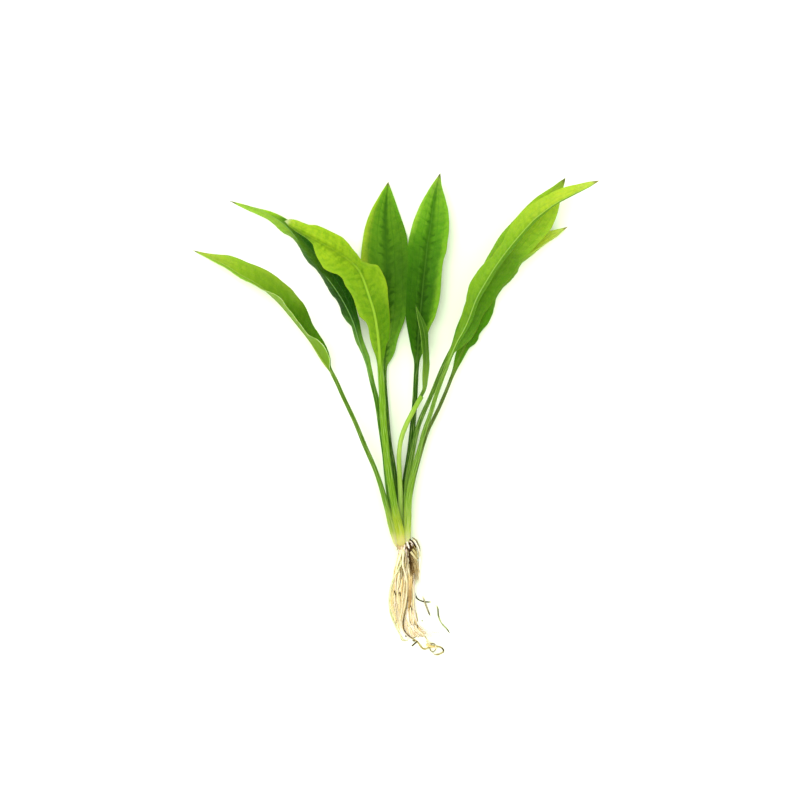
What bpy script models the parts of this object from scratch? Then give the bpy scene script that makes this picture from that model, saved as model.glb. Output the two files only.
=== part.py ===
"""Amazon sword plant, bare root, lying on a flat surface.

Nine leaves, each one piece from its base to its tip, one trimmed leaf stalk,
the crown that they grow from, and the main roots.  The plant lies in the XY
plane: leaf tips towards +Y, roots towards -Y, +Z up, the surface at z = 0.

Routes and outlines are drawn on a flat chart seen from straight above.  The
chart's units are CHART mm on the surface, x to the right and y downwards, and
a point's height z is in mm.  place() turns a chart point into metres.
"""

import math

import bmesh
import bpy
import numpy as np
from mathutils import Vector

# ---------------------------------------------------------------- dimensions
CHART = 0.52          # mm of the surface for one chart unit
EYE = 950.0           # height in mm of the point the chart is seen from
CHART_MID = (400.0, 400.0)
SHIFT = (3.208, 7.880)    # mm, sets the origin under the middle of the plant
LAMINA = 0.50         # leaf blade thickness, mm
RIB_TIP = 0.22        # midrib depth at the leaf tip, mm
PETIOLE_RINGS = 10
BLADE_RINGS = 26
ROOT_GAP = 0.56       # least clear distance between two roots, mm
ROOT_STEP = 1.0       # spacing of the points that settle a root's route, mm
CROWN_MID = (404.6, 546.2, 5.1)    # chart x, chart y, z in mm
CROWN_SIZE = (4.25, 2.55, 4.35)    # half sizes in mm along X, Y, Z

# ------------------------------------------------------------------- leaves
# mid: chart x, chart y, z of the centre line, from the crown to the tip.
# left, right: outline of each half of the blade from its base to its tip, as
# chart x, chart y, and height in mm above the centre line beside it.
# stalk: chart y, half width and half depth in mm of the stalk.
# arch: how far each half bows, as a part of its width.  wave: height of the
# margin's waves in mm, how many, and their start, for each half.
LEAVES = {
    "leaf_far_left": dict(
        mid=[(395.5, 540.5, 7.2), (392, 525, 8.0), (387.2, 508, 8.6), (382.4, 491, 9.0), (375, 469, 9.5),
             (365.4, 447, 9.9), (354.5, 420.6, 9.8), (342.4, 395, 8.8), (333.4, 376, 7.6), (322.8, 360.6, 6.6),
             (311.4, 342.6, 5.8), (302.8, 331.4, 5.4), (293.8, 320.4, 5.2), (283.8, 308.4, 5.0), (273.7, 297.9, 4.9),
             (263.5, 289.3, 4.9), (254.3, 282.8, 5.0), (242, 275.9, 5.2), (229, 267.6, 5.6), (216, 260.4, 6.2),
             (204, 254.8, 7.0), (192.7, 250.2, 8.2)],
        left=[(331, 368, 1.2), (329.5, 357, 4.0), (326, 349, 5.6), (316.6, 339.5, 7.8), (308.5, 334.4, 9.0),
              (304, 329, 9.2), (297, 321, 9.4), (291, 311, 9.4), (280, 298.6, 9.0), (270, 291.8, 8.2),
              (261, 288.9, 7.0), (251, 284.2, 5.2), (240, 278, 3.6), (229, 271, 2.6), (219, 264.8, 2.0),
              (209.5, 259.8, 1.4), (200, 255, 0.7)],
        right=[(334.5, 373, 0.0), (332, 367.6, -1.0), (330.4, 357, -2.2), (327, 348, -3.4), (321, 338, -4.2),
               (314.6, 327, -4.6), (309.5, 315.5, -4.9), (304, 305, -5.2), (298, 297, -5.2), (292, 288.5, -5.2),
               (282, 281, -5.3), (272, 274, -5.3), (256, 265, -5.0), (242, 260, -3.6), (229, 255.5, -2.2),
               (216, 254, -1.2), (205, 252.8, -0.6)],
        stalk=[(540.5, 1.5, 1.05), (532, 2.0, 1.15), (522, 2.05, 1.2), (508, 1.5, 1.15), (470, 1.2, 1.05), (376, 1.05, 0.95)],
        arch=(-0.05, 0.10), wave=((0.35, 6.5, 0.1), (0.45, 5.0, 0.35)), colour=(0.22, 0.42, 0.06)),
    "leaf_left_back": dict(
        mid=[(395, 540.5, 4.6), (393.6, 525, 4.9), (391.2, 508, 5.2), (388.4, 490, 5.7), (385.4, 460, 6.4),
             (381.4, 430, 7.2), (378.6, 411, 7.9), (375, 393, 8.6), (369.7, 376, 9.2), (364, 357, 9.8),
             (358.4, 340, 10.2), (353.4, 323, 10.6), (347.6, 310, 10.9), (342.8, 301, 11.0), (337.4, 292.2, 11.2),
             (331.0, 283.0, 11.3), (323.8, 274.0, 11.3), (314.4, 261.4, 11.1), (304.2, 248.8, 10.8), (294.9, 236.2, 10.4),
             (284.6, 225, 10.0), (271, 215.6, 9.4), (257, 208.6, 9.0), (243, 204.2, 8.8), (229.8, 201, 9.0)],
        left=[(370.8, 384, 0.0), (366.8, 368, -1.6), (361.0, 352.5, -3.2), (355.0, 338, -4.4), (351.0, 327, -5.4),
              (345.6, 320.6, -6.2), (342.8, 313.6, -6.6), (340.2, 306.2, -7.0), (335.4, 300.0, -7.4), (331.8, 296.4, -7.6),
              (327, 285.4, -8.0), (322.2, 277.4, -8.2), (315.8, 270.2, -8.2), (308.8, 263.2, -8.0), (305.2, 256.6, -7.6),
              (300.8, 249.4, -7.0), (292.2, 239.0, -6.0), (282.6, 231.6, -4.6), (273.2, 224.0, -3.2), (262, 217.0, -2.0),
              (248.8, 210.8, -1.0), (237, 205.4, -0.4)],
        right=[(374.4, 378, 0.2), (371.4, 366, 0.0), (369.6, 356, -0.4), (366, 347, -0.8), (362, 336, -1.0),
               (359.5, 322, -1.2), (356.5, 308, -1.4), (353, 294, -1.4), (347, 280, -1.4), (339, 267, -1.2),
               (330, 256, -1.0), (319, 246, -0.8), (307, 235, -0.6), (296, 226, -0.4), (288, 219.8, -0.2),
               (281, 215.8, 0.0), (270.5, 211.3, 0.0), (258, 208, 0.0), (247, 205.4, 0.0), (237, 203, 0.0)],
        stalk=[(540.5, 1.3, 0.95), (520, 1.4, 1.0), (490, 1.4, 1.0), (430, 1.45, 1.05), (376, 1.25, 1.0)],
        arch=(0.12, 0.10), wave=((0.5, 7.0, 0.0), (0.5, 5.0, 0.2)), colour=(0.13, 0.32, 0.04)),
    "leaf_left_front": dict(
        mid=[(400.8, 540.5, 9.2), (400, 532, 9.8), (397.4, 521, 10.5), (394, 503, 11.3), (390.2, 481, 12.4),
             (388.0, 467, 13.2), (385.7, 445, 14.4), (383.7, 425, 15.5), (382.1, 396, 17.2), (380.6, 372, 18.6),
             (379.8, 360, 19.3), (379, 346.5, 20.0), (376.8, 327, 21.0), (373.2, 309, 22.0), (368.4, 294, 23.0),
             (364, 281, 24.0), (358.5, 270, 24.7), (346, 258, 25.4), (329, 247, 25.6), (310, 236.6, 25.0),
             (297.7, 229.4, 24.2), (284.5, 221, 23.2)],
        left=[(377.2, 366, 0.0), (375.6, 358, -0.5), (372.6, 348, -1.0), (370, 338, -1.5), (366.4, 323.6, -2.0),
              (359.5, 316, -2.4), (356.4, 308, -2.6), (351.6, 295.6, -2.8), (344.6, 283.5, -3.0), (337.7, 274.6, -3.2),
              (331.6, 272.2, -3.4), (324.4, 269, -3.4), (318.3, 260.0, -3.2), (314.4, 249.5, -2.8), (312.6, 243.6, -2.4),
              (307.6, 239.4, -1.8), (297.4, 232.8, -1.0), (290.6, 227.4, -0.4)],
        right=[(383.4, 364, 0.0), (384.6, 356, -0.6), (386.4, 346, -1.2), (389.4, 339, -1.8), (389.8, 328, -2.2),
               (389.6, 314, -2.6), (388.6, 298, -3.0), (386.6, 285, -3.2), (382.8, 273.4, -3.4), (378.6, 265.6, -3.4),
               (369.4, 263.2, -3.4), (361.6, 259.6, -3.2), (353.8, 251, -3.0), (347.4, 242.4, -2.8), (341, 236, -2.6),
               (328, 230, -2.2), (317, 225.4, -1.8), (308.6, 224.4, -1.4), (299.6, 220.9, -0.8), (290.4, 219, -0.3)],
        stalk=[(540.5, 2.15, 0.85), (532, 2.2, 0.95), (521, 2.15, 1.0), (503, 1.75, 1.1), (481, 1.7, 1.15),
               (430, 1.65, 1.2), (396, 1.7, 1.2), (372, 1.5, 1.15)],
        arch=(0.08, 0.08), wave=((0.5, 6.0, 0.45), (0.6, 5.0, 0.15)), rib_up=1, colour=(0.33, 0.6, 0.05)),
    "leaf_middle_left": dict(
        mid=[(397.0, 540.5, 2.3), (397.7, 525, 2.3), (397.6, 505, 2.3), (395.4, 481, 2.3), (393.3, 465, 2.4),
             (390.6, 451, 2.5), (388.3, 433, 2.6), (386.4, 408, 2.5), (384.5, 380, 2.3), (385.0, 360, 2.0),
             (386.2, 340, 1.6), (387.2, 315, 1.1), (387.3, 290, 0.6), (387, 268, 0.15), (386, 245, -0.1),
             (385.3, 224, -0.1), (386, 203, 0.5), (388.2, 181.4, 2.6)],
        left=[(382, 370, 0.1), (378, 361, 0.5), (374, 348, 0.9), (371.6, 338, 1.2), (367.6, 323, 1.4), (363.8, 308, 1.5),
              (361.3, 290, 1.5), (360.6, 270, 1.4), (361.2, 252, 1.2), (363.4, 235, 1.1), (369.8, 213, 1.0), (379.4, 195.5, 0.8),
              (384.4, 187.4, 0.4)],
        right=[(387.4, 368, 0.1), (391.4, 360, 0.5), (395.2, 351, 1.0), (398.2, 337.5, 1.4), (404.6, 320, 1.8), (408.4, 303, 2.0),
               (409.2, 285, 2.0), (409.2, 262, 1.7), (407.6, 241, 1.4), (404.4, 228, 1.2), (400, 214.5, 1.0), (393.6, 196, 0.8),
               (390.6, 188, 0.4)],
        stalk=[(540.5, 1.2, 0.85), (505, 1.2, 0.95), (451, 1.2, 1.0), (408, 1.2, 1.0), (378, 1.15, 0.95)],
        arch=(-0.06, -0.06), wave=((0.3, 6.0, 0.2), (0.35, 5.5, 0.6)), colour=(0.12, 0.36, 0.03)),
    "leaf_middle_right": dict(
        mid=[(402.8, 540.5, 2.4), (403.2, 520, 2.7), (403.3, 500, 3.0), (404.6, 483, 3.5), (408.4, 460, 4.2),
             (411.2, 440, 4.8), (412.7, 426, 5.2), (414.8, 400, 5.8), (416.6, 366, 6.5), (417.6, 350, 6.9),
             (418.8, 330, 7.3), (421.2, 304, 7.7), (423.8, 277, 8.0), (426.2, 256, 8.2), (427.6, 243, 8.2),
             (430.4, 227.6, 8.2), (433.4, 203.5, 8.4), (436.8, 186, 8.9), (440.4, 172.7, 10.0)],
        left=[(413.4, 364, 0.1), (411.6, 352, 0.3), (407.9, 332, 0.6), (405.8, 317, 0.8), (405.9, 300, 1.0), (407, 280, 1.1),
              (407.8, 260, 1.2), (408.6, 240, 1.3), (411.8, 226, 1.3), (418.3, 209, 1.2), (428, 190.5, 0.9), (434.6, 180.6, 0.5)],
        right=[(419.8, 364, 0.1), (423, 353, 0.5), (429, 330, 1.1), (435.9, 315.5, 1.6), (439.8, 297, 1.9), (441.9, 277, 2.0),
               (443.2, 262, 2.0), (446.7, 249, 2.0), (448.9, 234, 2.0), (448.8, 215.6, 1.8), (445.6, 199, 1.4), (441.6, 184, 0.8),
               (441, 177.6, 0.3)],
        stalk=[(540.5, 1.15, 0.85), (500, 1.25, 0.95), (460, 1.4, 1.0), (426, 1.42, 1.05), (400, 1.32, 1.05), (366, 1.2, 1.0)],
        arch=(-0.06, -0.07), wave=((0.3, 5.5, 0.5), (0.45, 4.5, 0.05)), colour=(0.1, 0.33, 0.03)),
    "leaf_young": dict(
        mid=[(401, 540.5, 4.7), (401.6, 520, 5.0), (401, 500, 5.4), (400.1, 485, 5.8), (399.6, 470, 6.3),
             (399.6, 455, 6.9), (401.4, 440, 7.5), (405.8, 426, 8.1), (413, 411.5, 8.9), (420, 398, 10.0),
             (424.2, 389, 10.7), (425.4, 380, 11.3), (426.0, 368, 11.8), (425.9, 350, 12.1), (424.4, 334, 12.4),
             (420.4, 318, 12.6), (415.6, 305.3, 12.9)],
        left=[(421.9, 390, 0.2), (422.0, 383, 0.9), (422.7, 367, 1.9), (422.4, 355, 2.3), (421.3, 340, 2.4),
              (418.4, 323, 1.8), (416.0, 309, 0.6)],
        right=[(426, 390, 0.2), (427.6, 383, 0.8), (429.6, 367, 1.6), (429.1, 357, 2.0), (428.6, 344, 2.2),
               (427.8, 331, 1.9), (423.8, 320, 1.3), (418.3, 310, 0.5)],
        stalk=[(540.5, 0.85, 0.6), (500, 0.9, 0.6), (455, 0.9, 0.62), (411, 0.85, 0.62), (394, 0.95, 0.7), (385, 1.1, 0.7)],
        arch=(-0.12, -0.12), wave=((0.1, 3.0, 0.2), (0.1, 3.0, 0.6)), colour=(0.2, 0.4, 0.05)),
    "leaf_right_front": dict(
        mid=[(406.5, 540.5, 7.6), (407, 530, 8.2), (407.6, 518, 8.9), (408.4, 500, 9.8), (411.8, 480, 11.0),
             (416.6, 460, 12.2), (420.6, 445, 13.1), (424.6, 430, 14.0), (428.4, 420, 14.6), (434.6, 400, 16.0),
             (441.6, 380, 17.2), (448.6, 362, 18.3), (452.6, 352, 19.0), (457.6, 341, 19.9), (463, 331.5, 20.8),
             (469, 318.5, 21.8), (476.4, 299, 23.4), (484.6, 284, 24.8), (493.4, 269.6, 26.0), (503.6, 255, 27.2),
             (514, 242, 28.2), (523.4, 231, 29.0), (534, 219.6, 29.6), (545.6, 210.4, 30.0), (556.5, 202.8, 30.2),
             (567, 197.2, 30.2), (577.4, 192.2, 30.1), (588.4, 187, 30.1), (599.6, 180.4, 30.6)],
        left=[(445.6, 363, -0.2), (448.6, 353, -0.8), (452.6, 342.5, -1.6), (457, 331.5, -2.2), (459.8, 324, -2.8),
              (462.2, 312, -3.4), (465.3, 301.5, -4.0), (467.6, 291, -4.4), (471.6, 280.5, -4.8), (477, 271.5, -5.0),
              (484.6, 262.6, -5.2), (493.2, 255.6, -5.2), (500.6, 245.4, -5.0), (506, 234, -4.8), (512.6, 222.6, -4.4),
              (521, 212.6, -4.0), (531, 203.8, -3.6), (539, 199, -3.2), (549, 194.2, -2.8), (557, 190.2, -2.4),
              (566, 186.8, -2.0), (577, 184.2, -1.4), (588, 181.8, -0.8)],
        right=[(450.8, 360, -0.8), (455, 351, -3.0), (460.3, 341, -4.8), (465.8, 331.6, -5.8), (471.8, 319, -6.6),
               (479, 300.2, -7.6), (487, 285.2, -8.0), (495.8, 271, -8.2), (506, 256.4, -8.2), (516.2, 243.4, -8.0),
               (525.2, 232.2, -7.6), (535.4, 220.4, -7.0), (546.4, 211.2, -6.2), (557, 203.3, -5.2), (567.3, 197.6, -4.0),
               (577.6, 192.7, -3.0), (588.5, 187.5, -1.8)],
        stalk=[(540.5, 1.6, 1.05), (530, 1.9, 1.1), (518, 2.05, 1.15), (500, 1.85, 1.2), (480, 1.45, 1.2), (445, 1.15, 1.15), (362, 1.1, 1.05)],
        arch=(0.12, 0.22), wave=((0.25, 6.0, 0.3), (0.4, 6.0, 0.1)), colour=(0.38, 0.62, 0.07)),
    "leaf_right_middle": dict(
        mid=[(406.6, 540.5, 4.9), (406.4, 520, 5.6), (405.8, 500, 6.4), (407.8, 480, 7.2), (411.2, 460, 8.0),
             (413.8, 445, 8.6), (417.2, 430, 9.1), (420.4, 420, 9.5), (429.2, 400, 10.2), (437.4, 380, 10.9),
             (445.6, 361, 11.5), (452, 349, 11.9), (460.4, 334, 12.3), (469, 318, 12.6), (478.6, 300, 12.8),
             (489.6, 281.6, 13.0), (502.4, 262, 13.2), (515, 243.6, 13.5), (527, 227.6, 13.9), (539, 211.6, 14.4),
             (550, 196.6, 15.0), (558.6, 186, 15.6), (565.6, 177.6, 16.4)],
        left=[(446, 355.6, 0.0), (449.9, 348, -0.2), (453.8, 336.5, -0.4), (456.2, 328, -0.6), (459.6, 319, -0.8),
              (464.6, 307, -1.0), (470, 294, -1.2), (475, 282.4, -1.4), (480.8, 270.6, -1.4), (488, 255.6, -1.4),
              (499.6, 236.4, -1.4), (506.8, 227.6, -1.2), (514, 219.6, -1.2), (522.8, 210, -1.0), (531, 202, -0.9),
              (536.5, 197, -0.8), (545.6, 190.9, -0.6), (553, 186.3, -0.4), (559.6, 181.5, -0.2)],
        right=[(449.6, 358.6, 0.0), (456.4, 351.6, -0.4), (463.6, 346, -1.0), (470.8, 339.4, -1.6), (476, 331, -2.0),
               (483.6, 315, -2.4), (489.6, 305.6, -2.6), (496.4, 294.6, -2.8), (502.6, 285.6, -3.0), (509, 278, -3.0),
               (515.6, 270, -3.0), (520.6, 262, -3.0), (527.6, 254.6, -3.0), (535, 247, -2.8), (542.6, 239.4, -2.6),
               (549.4, 231, -2.4), (554, 222.5, -2.0), (557, 215.5, -1.6), (559, 208.5, -1.3), (560.4, 201, -1.0),
               (562.4, 193, -0.7), (563.6, 187, -0.4), (565, 182.2, -0.2)],
        stalk=[(540.5, 1.55, 0.95), (500, 1.45, 1.0), (460, 1.35, 1.0), (400, 1.15, 1.0), (361, 1.05, 0.95)],
        arch=(0.06, 0.08), wave=((0.35, 6.0, 0.55), (0.5, 6.5, 0.2)), colour=(0.17, 0.42, 0.04)),
    "leaf_right_back": dict(
        mid=[(408.2, 540.5, 2.4), (409, 525, 2.5), (409.8, 500, 2.8), (413.4, 480, 3.2), (418.4, 460, 3.7),
             (422.8, 445, 4.1), (428, 430, 4.5), (433, 420, 4.8), (442.4, 400, 5.4), (448.6, 385, 5.8),
             (453, 373.6, 6.2), (457.2, 363, 6.5), (461.4, 353.6, 6.7), (466, 343.6, 6.9), (472.4, 330.6, 7.0),
             (479.4, 316.6, 7.0), (487, 300.6, 6.9), (495, 287, 6.7), (504, 275, 6.4), (513, 265, 6.1),
             (521, 258.4, 5.8), (528.4, 253.6, 5.6), (536.4, 248.4, 5.4), (549, 239.9, 5.4), (558, 233.4, 5.8),
             (567.7, 226.8, 6.8)],
        left=[(450.6, 374.5, 0.1), (453.4, 364, 0.4), (455.4, 355, 0.8), (458, 346, 1.0), (462.6, 333, 1.1), (468.8, 317.6, 1.2),
              (476.4, 301.6, 1.2), (485.4, 285.6, 1.2), (495.6, 271.4, 1.1), (506.4, 258.6, 1.0), (517.4, 249.4, 0.9),
              (528.4, 241.6, 0.8), (539, 235.6, 0.6), (549, 231, 0.5), (556, 229.4, 0.3), (562.6, 227.9, 0.1)],
        right=[(455.8, 373.6, -0.1), (461.6, 361.6, -0.6), (468.6, 349.6, -1.4), (475.4, 343.6, -1.8), (478, 339.5, -2.0),
               (479.4, 334, -2.0), (483, 329.6, -2.0), (488.6, 323.6, -2.4), (491.9, 317, -2.8), (494.2, 307, -3.4),
               (496.4, 298, -3.8), (501, 291.2, -4.2), (505.4, 285.6, -4.6), (511.6, 278.8, -5.0), (517, 272.6, -5.2),
               (520, 266.4, -5.4), (523.2, 261.9, -5.6), (528.6, 257.4, -5.8), (536.8, 250.9, -5.8), (545.8, 243.6, -5.2),
               (556, 236.9, -3.6), (563, 231.2, -1.6)],
        stalk=[(540.5, 1.15, 0.8), (500, 1.15, 0.9), (460, 1.1, 0.9), (430, 1.0, 0.9), (385, 0.9, 0.85), (373, 0.95, 0.85)],
        arch=(0.05, 0.16), wave=((0.3, 5.0, 0.3), (0.3, 6.0, 0.7)), colour=(0.2, 0.42, 0.05)),
}

# The trimmed stalk: chart x, chart y, z, and half width and half depth in mm.
CUT_STALK = [(401.6, 540.5, 6.55, 1.0, 0.62), (401.9, 528, 7.0, 1.1, 0.75), (401.3, 514, 7.6, 1.2, 0.9), (400.5, 500, 8.2, 1.25, 0.95),
             (400.0, 485, 8.8, 1.25, 1.0), (399.3, 470, 9.3, 1.22, 1.0), (399.0, 455, 9.8, 1.2, 1.0), (400.9, 440, 10.3, 1.2, 1.0),
             (405.2, 427, 10.8, 1.2, 1.0), (412.6, 412, 11.5, 1.2, 1.0), (421.4, 396.4, 12.7, 1.28, 1.02)]

# -------------------------------------------------------------------- roots
# Chart x, chart y along each root, radius in mm at its start and end, the
# height in mm at which it leaves the crown and that at which it comes to lie.
ROOTS = {
    "root_outer_left": ([(404.4, 553.0), (403.6, 557), (402.6, 561), (399.6, 567.4), (396.2, 573), (393.2, 579), (391.2, 585.6),
                         (389.7, 592), (389.2, 600), (389.6, 609), (391.2, 616), (394.2, 623.5), (398, 631), (400.6, 636),
                         (403, 639.4), (406.6, 640.2)], 0.52, 0.36, 7.4, 1.2),
    "root_left_tan": ([(399.6, 553.2), (399, 556), (397.8, 560), (396.2, 565), (395, 570.4), (394, 577), (393.6, 585),
                       (393.8, 593), (394.5, 600), (394.2, 607)], 0.44, 0.28, 3.0, 0.5),
    "root_left_pale": ([(401.4, 553.2), (400.8, 558), (400, 565), (398.8, 572.5), (397.8, 581), (397.2, 590), (397.5, 600),
                        (398.8, 608), (400.4, 616), (401.2, 622)], 0.48, 0.30, 5.4, 2.4),
    "root_left_cream": ([(398.8, 552.6), (397.7, 558), (396.9, 567), (396.9, 577), (398, 587), (399.8, 597), (401.5, 607),
                         (402.6, 616), (402.2, 623)], 0.46, 0.28, 4.6, 0.5),
    "root_centre_pale": ([(403.2, 553.2), (403, 559), (402.2, 566), (404, 571), (406.2, 576), (407, 582), (407.2, 588),
                          (406.6, 597), (405.2, 604), (403.8, 612)], 0.48, 0.28, 8.2, 3.6),
    "root_centre_cream": ([(403.0, 553.4), (402.6, 560), (401.5, 570), (400.4, 580), (400.5, 590), (402.2, 600), (404.2, 610),
                           (406.5, 619), (408, 627)], 0.46, 0.28, 2.4, 0.5),
    "root_centre_long": ([(405.2, 553.4), (404.3, 562), (403.7, 573), (402, 584), (399.4, 595), (396.8, 604), (395.2, 612),
                          (394.8, 619), (396, 625.4)], 0.46, 0.26, 3.6, 1.8),
    "root_centre_ivory": ([(406.6, 553.4), (407, 562), (406.2, 572), (404.6, 583), (403.3, 594), (402.3, 604), (401.2, 613),
                           (399.6, 621), (398.4, 628)], 0.46, 0.26, 5.6, 3.0),
    "root_brown_loop": ([(405.4, 553.2), (405.8, 560), (405.8, 573), (406.4, 586), (407.8, 597), (406.2, 607), (404, 617),
                         (402.6, 624), (402.8, 630), (406, 634), (410, 637.2), (414.4, 639.4), (417.6, 642), (420.2, 645.6),
                         (423.2, 648.6), (426.6, 648.6), (430, 646.6), (435, 646.2), (440, 647), (443, 649.2), (443.6, 651.4),
                         (441.4, 653), (437.6, 654.6), (434.2, 654.8)], 0.50, 0.34, 6.8, 0.5),
    "root_right_pale": ([(407.8, 553.4), (408.2, 561), (408.6, 568), (409.6, 574), (411.2, 582), (412.8, 588), (413.5, 595),
                         (413.3, 605), (412.5, 614)], 0.48, 0.30, 8.0, 3.0),
    "root_right_cream": ([(408.6, 553.4), (409.2, 563), (408.8, 574), (408.7, 586), (409.5, 597), (410.8, 607), (411, 617),
                          (409.8, 626)], 0.46, 0.28, 2.6, 0.5),
    "root_pink": ([(409.8, 553.2), (410.2, 560), (411, 566), (411.7, 573), (411.9, 580), (411, 588), (409.4, 596.5)], 0.40, 0.24, 6.2, 4.4),
    "root_amber_ring": ([(411.0, 552.8), (411.4, 563), (411.8, 575), (411.3, 585), (410.9, 592), (412, 600), (412.7, 610),
                         (413, 619), (414.2, 626), (417.6, 630.4), (421.8, 633.4), (425.2, 636.8), (427.6, 640.6), (430.2, 643.4),
                         (433.2, 643.6), (435.4, 645.4), (435.8, 648.4), (434.4, 651), (432, 651.8), (430.4, 650)], 0.50, 0.30, 4.4, 1.6),
    "root_wire": ([(409.8, 553.6), (411.2, 563), (412.2, 574), (413, 585), (414.8, 594.4), (417.4, 598.6), (421, 600.8),
                   (425.4, 601.8), (430, 602), (434.4, 603.4), (437.4, 607.4), (438.2, 614), (440, 620.4), (443, 625), (446.4, 628.4),
                   (449.6, 633)], 0.34, 0.22, 7.6, 0.4),
    "root_right_arch": ([(414.0, 541.2), (416.0, 543.2), (417.8, 546), (419.2, 550), (419.8, 555), (419.4, 562), (418.6, 570),
                         (418.6, 578), (420.2, 586), (422.4, 595), (425, 602.6), (427.6, 609.6), (430.2, 616)], 0.52, 0.30, 6.8, 0.6),
    "root_olive": ([(412.2, 551.6), (414.2, 559), (415.2, 569), (415.4, 580), (414.6, 591), (415, 602), (416.2, 612),
                    (417.6, 621), (418, 627)], 0.44, 0.26, 3.2, 0.5),
    "root_faint": ([(411.8, 552.6), (412.8, 562), (413.4, 574), (413.8, 586), (413.6, 598), (414, 609), (416, 619), (420, 627),
                    (427, 630.6), (433.6, 633), (439.5, 635), (445.4, 635.2)], 0.36, 0.20, 8.4, 0.9),
    "root_centre_back": ([(407.4, 553.4), (409.4, 565), (409.9, 578), (408, 590), (406.4, 601), (406.6, 611), (408.8, 620), (411.6, 628)],
                         0.44, 0.28, 1.4, 0.5),
    "root_short": ([(413.6, 549.0), (416, 551.6), (417.6, 555), (417.4, 558.8)], 0.42, 0.26, 4.6, 3.6),
}


# ----------------------------------------------------------- curve functions
def place(xyz):
    """Chart x, chart y, z in mm, turned into metres in the plant's frame."""
    xyz = np.asarray(xyz, float)
    near = 1.0 - xyz[..., 2] / EYE
    return 0.001 * np.stack([
        (xyz[..., 0] - CHART_MID[0]) * CHART * near + SHIFT[0],
        (CHART_MID[1] - xyz[..., 1]) * CHART * near + SHIFT[1],
        xyz[..., 2]], axis=-1)


def smooth_curve(points):
    """A natural cubic spline through the points, as a function of 0 to 1."""
    points = np.asarray(points, float)
    knots = np.concatenate([[0], np.cumsum(np.linalg.norm(np.diff(points[:, :2], axis=0), axis=1))])
    knots /= knots[-1]
    n, h = len(points), np.diff(knots)
    system, right = np.eye(n), np.zeros_like(points)
    for i in range(1, n - 1):
        system[i, i - 1:i + 2] = h[i - 1], 2 * (h[i - 1] + h[i]), h[i]
        right[i] = 6 * ((points[i + 1] - points[i]) / h[i] - (points[i] - points[i - 1]) / h[i - 1])
    bend = np.linalg.solve(system, right)

    def at(t):
        t = np.asarray(t, float)
        i = np.clip(np.searchsorted(knots, t, side="right") - 1, 0, n - 2)
        a, b, w = knots[i + 1] - t, t - knots[i], h[i]
        a, b, w = a[..., None], b[..., None], w[..., None]
        return (bend[i] * a ** 3 + bend[i + 1] * b ** 3) / (6 * w) + (points[i] / w - bend[i] * w / 6) * a + (points[i + 1] / w - bend[i + 1] * w / 6) * b
    return at


def monotone(x, y):
    """A cubic through the values that never overshoots them."""
    x, y = np.asarray(x, float), np.asarray(y, float)
    h, slope = np.diff(x), np.diff(y) / np.diff(x)
    d = np.zeros_like(y)
    for i in range(1, len(x) - 1):
        if slope[i - 1] * slope[i] > 0:
            w1, w2 = 2 * h[i] + h[i - 1], h[i] + 2 * h[i - 1]
            d[i] = (w1 + w2) / (w1 / slope[i - 1] + w2 / slope[i])
    d[0], d[-1] = slope[0], slope[-1]

    def at(t):
        t = np.clip(np.asarray(t, float), x[0], x[-1])
        i = np.clip(np.searchsorted(x, t, side="right") - 1, 0, len(x) - 2)
        w, u = h[i], (t - x[i]) / h[i]
        return (y[i] * (1 + 2 * u) * (1 - u) ** 2 + d[i] * w * u * (1 - u) ** 2
                + y[i + 1] * u * u * (3 - 2 * u) + d[i + 1] * w * u * u * (u - 1))
    return at


def ease(t):
    t = np.clip(t, 0, 1)
    return t * t * (3 - 2 * t)


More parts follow.
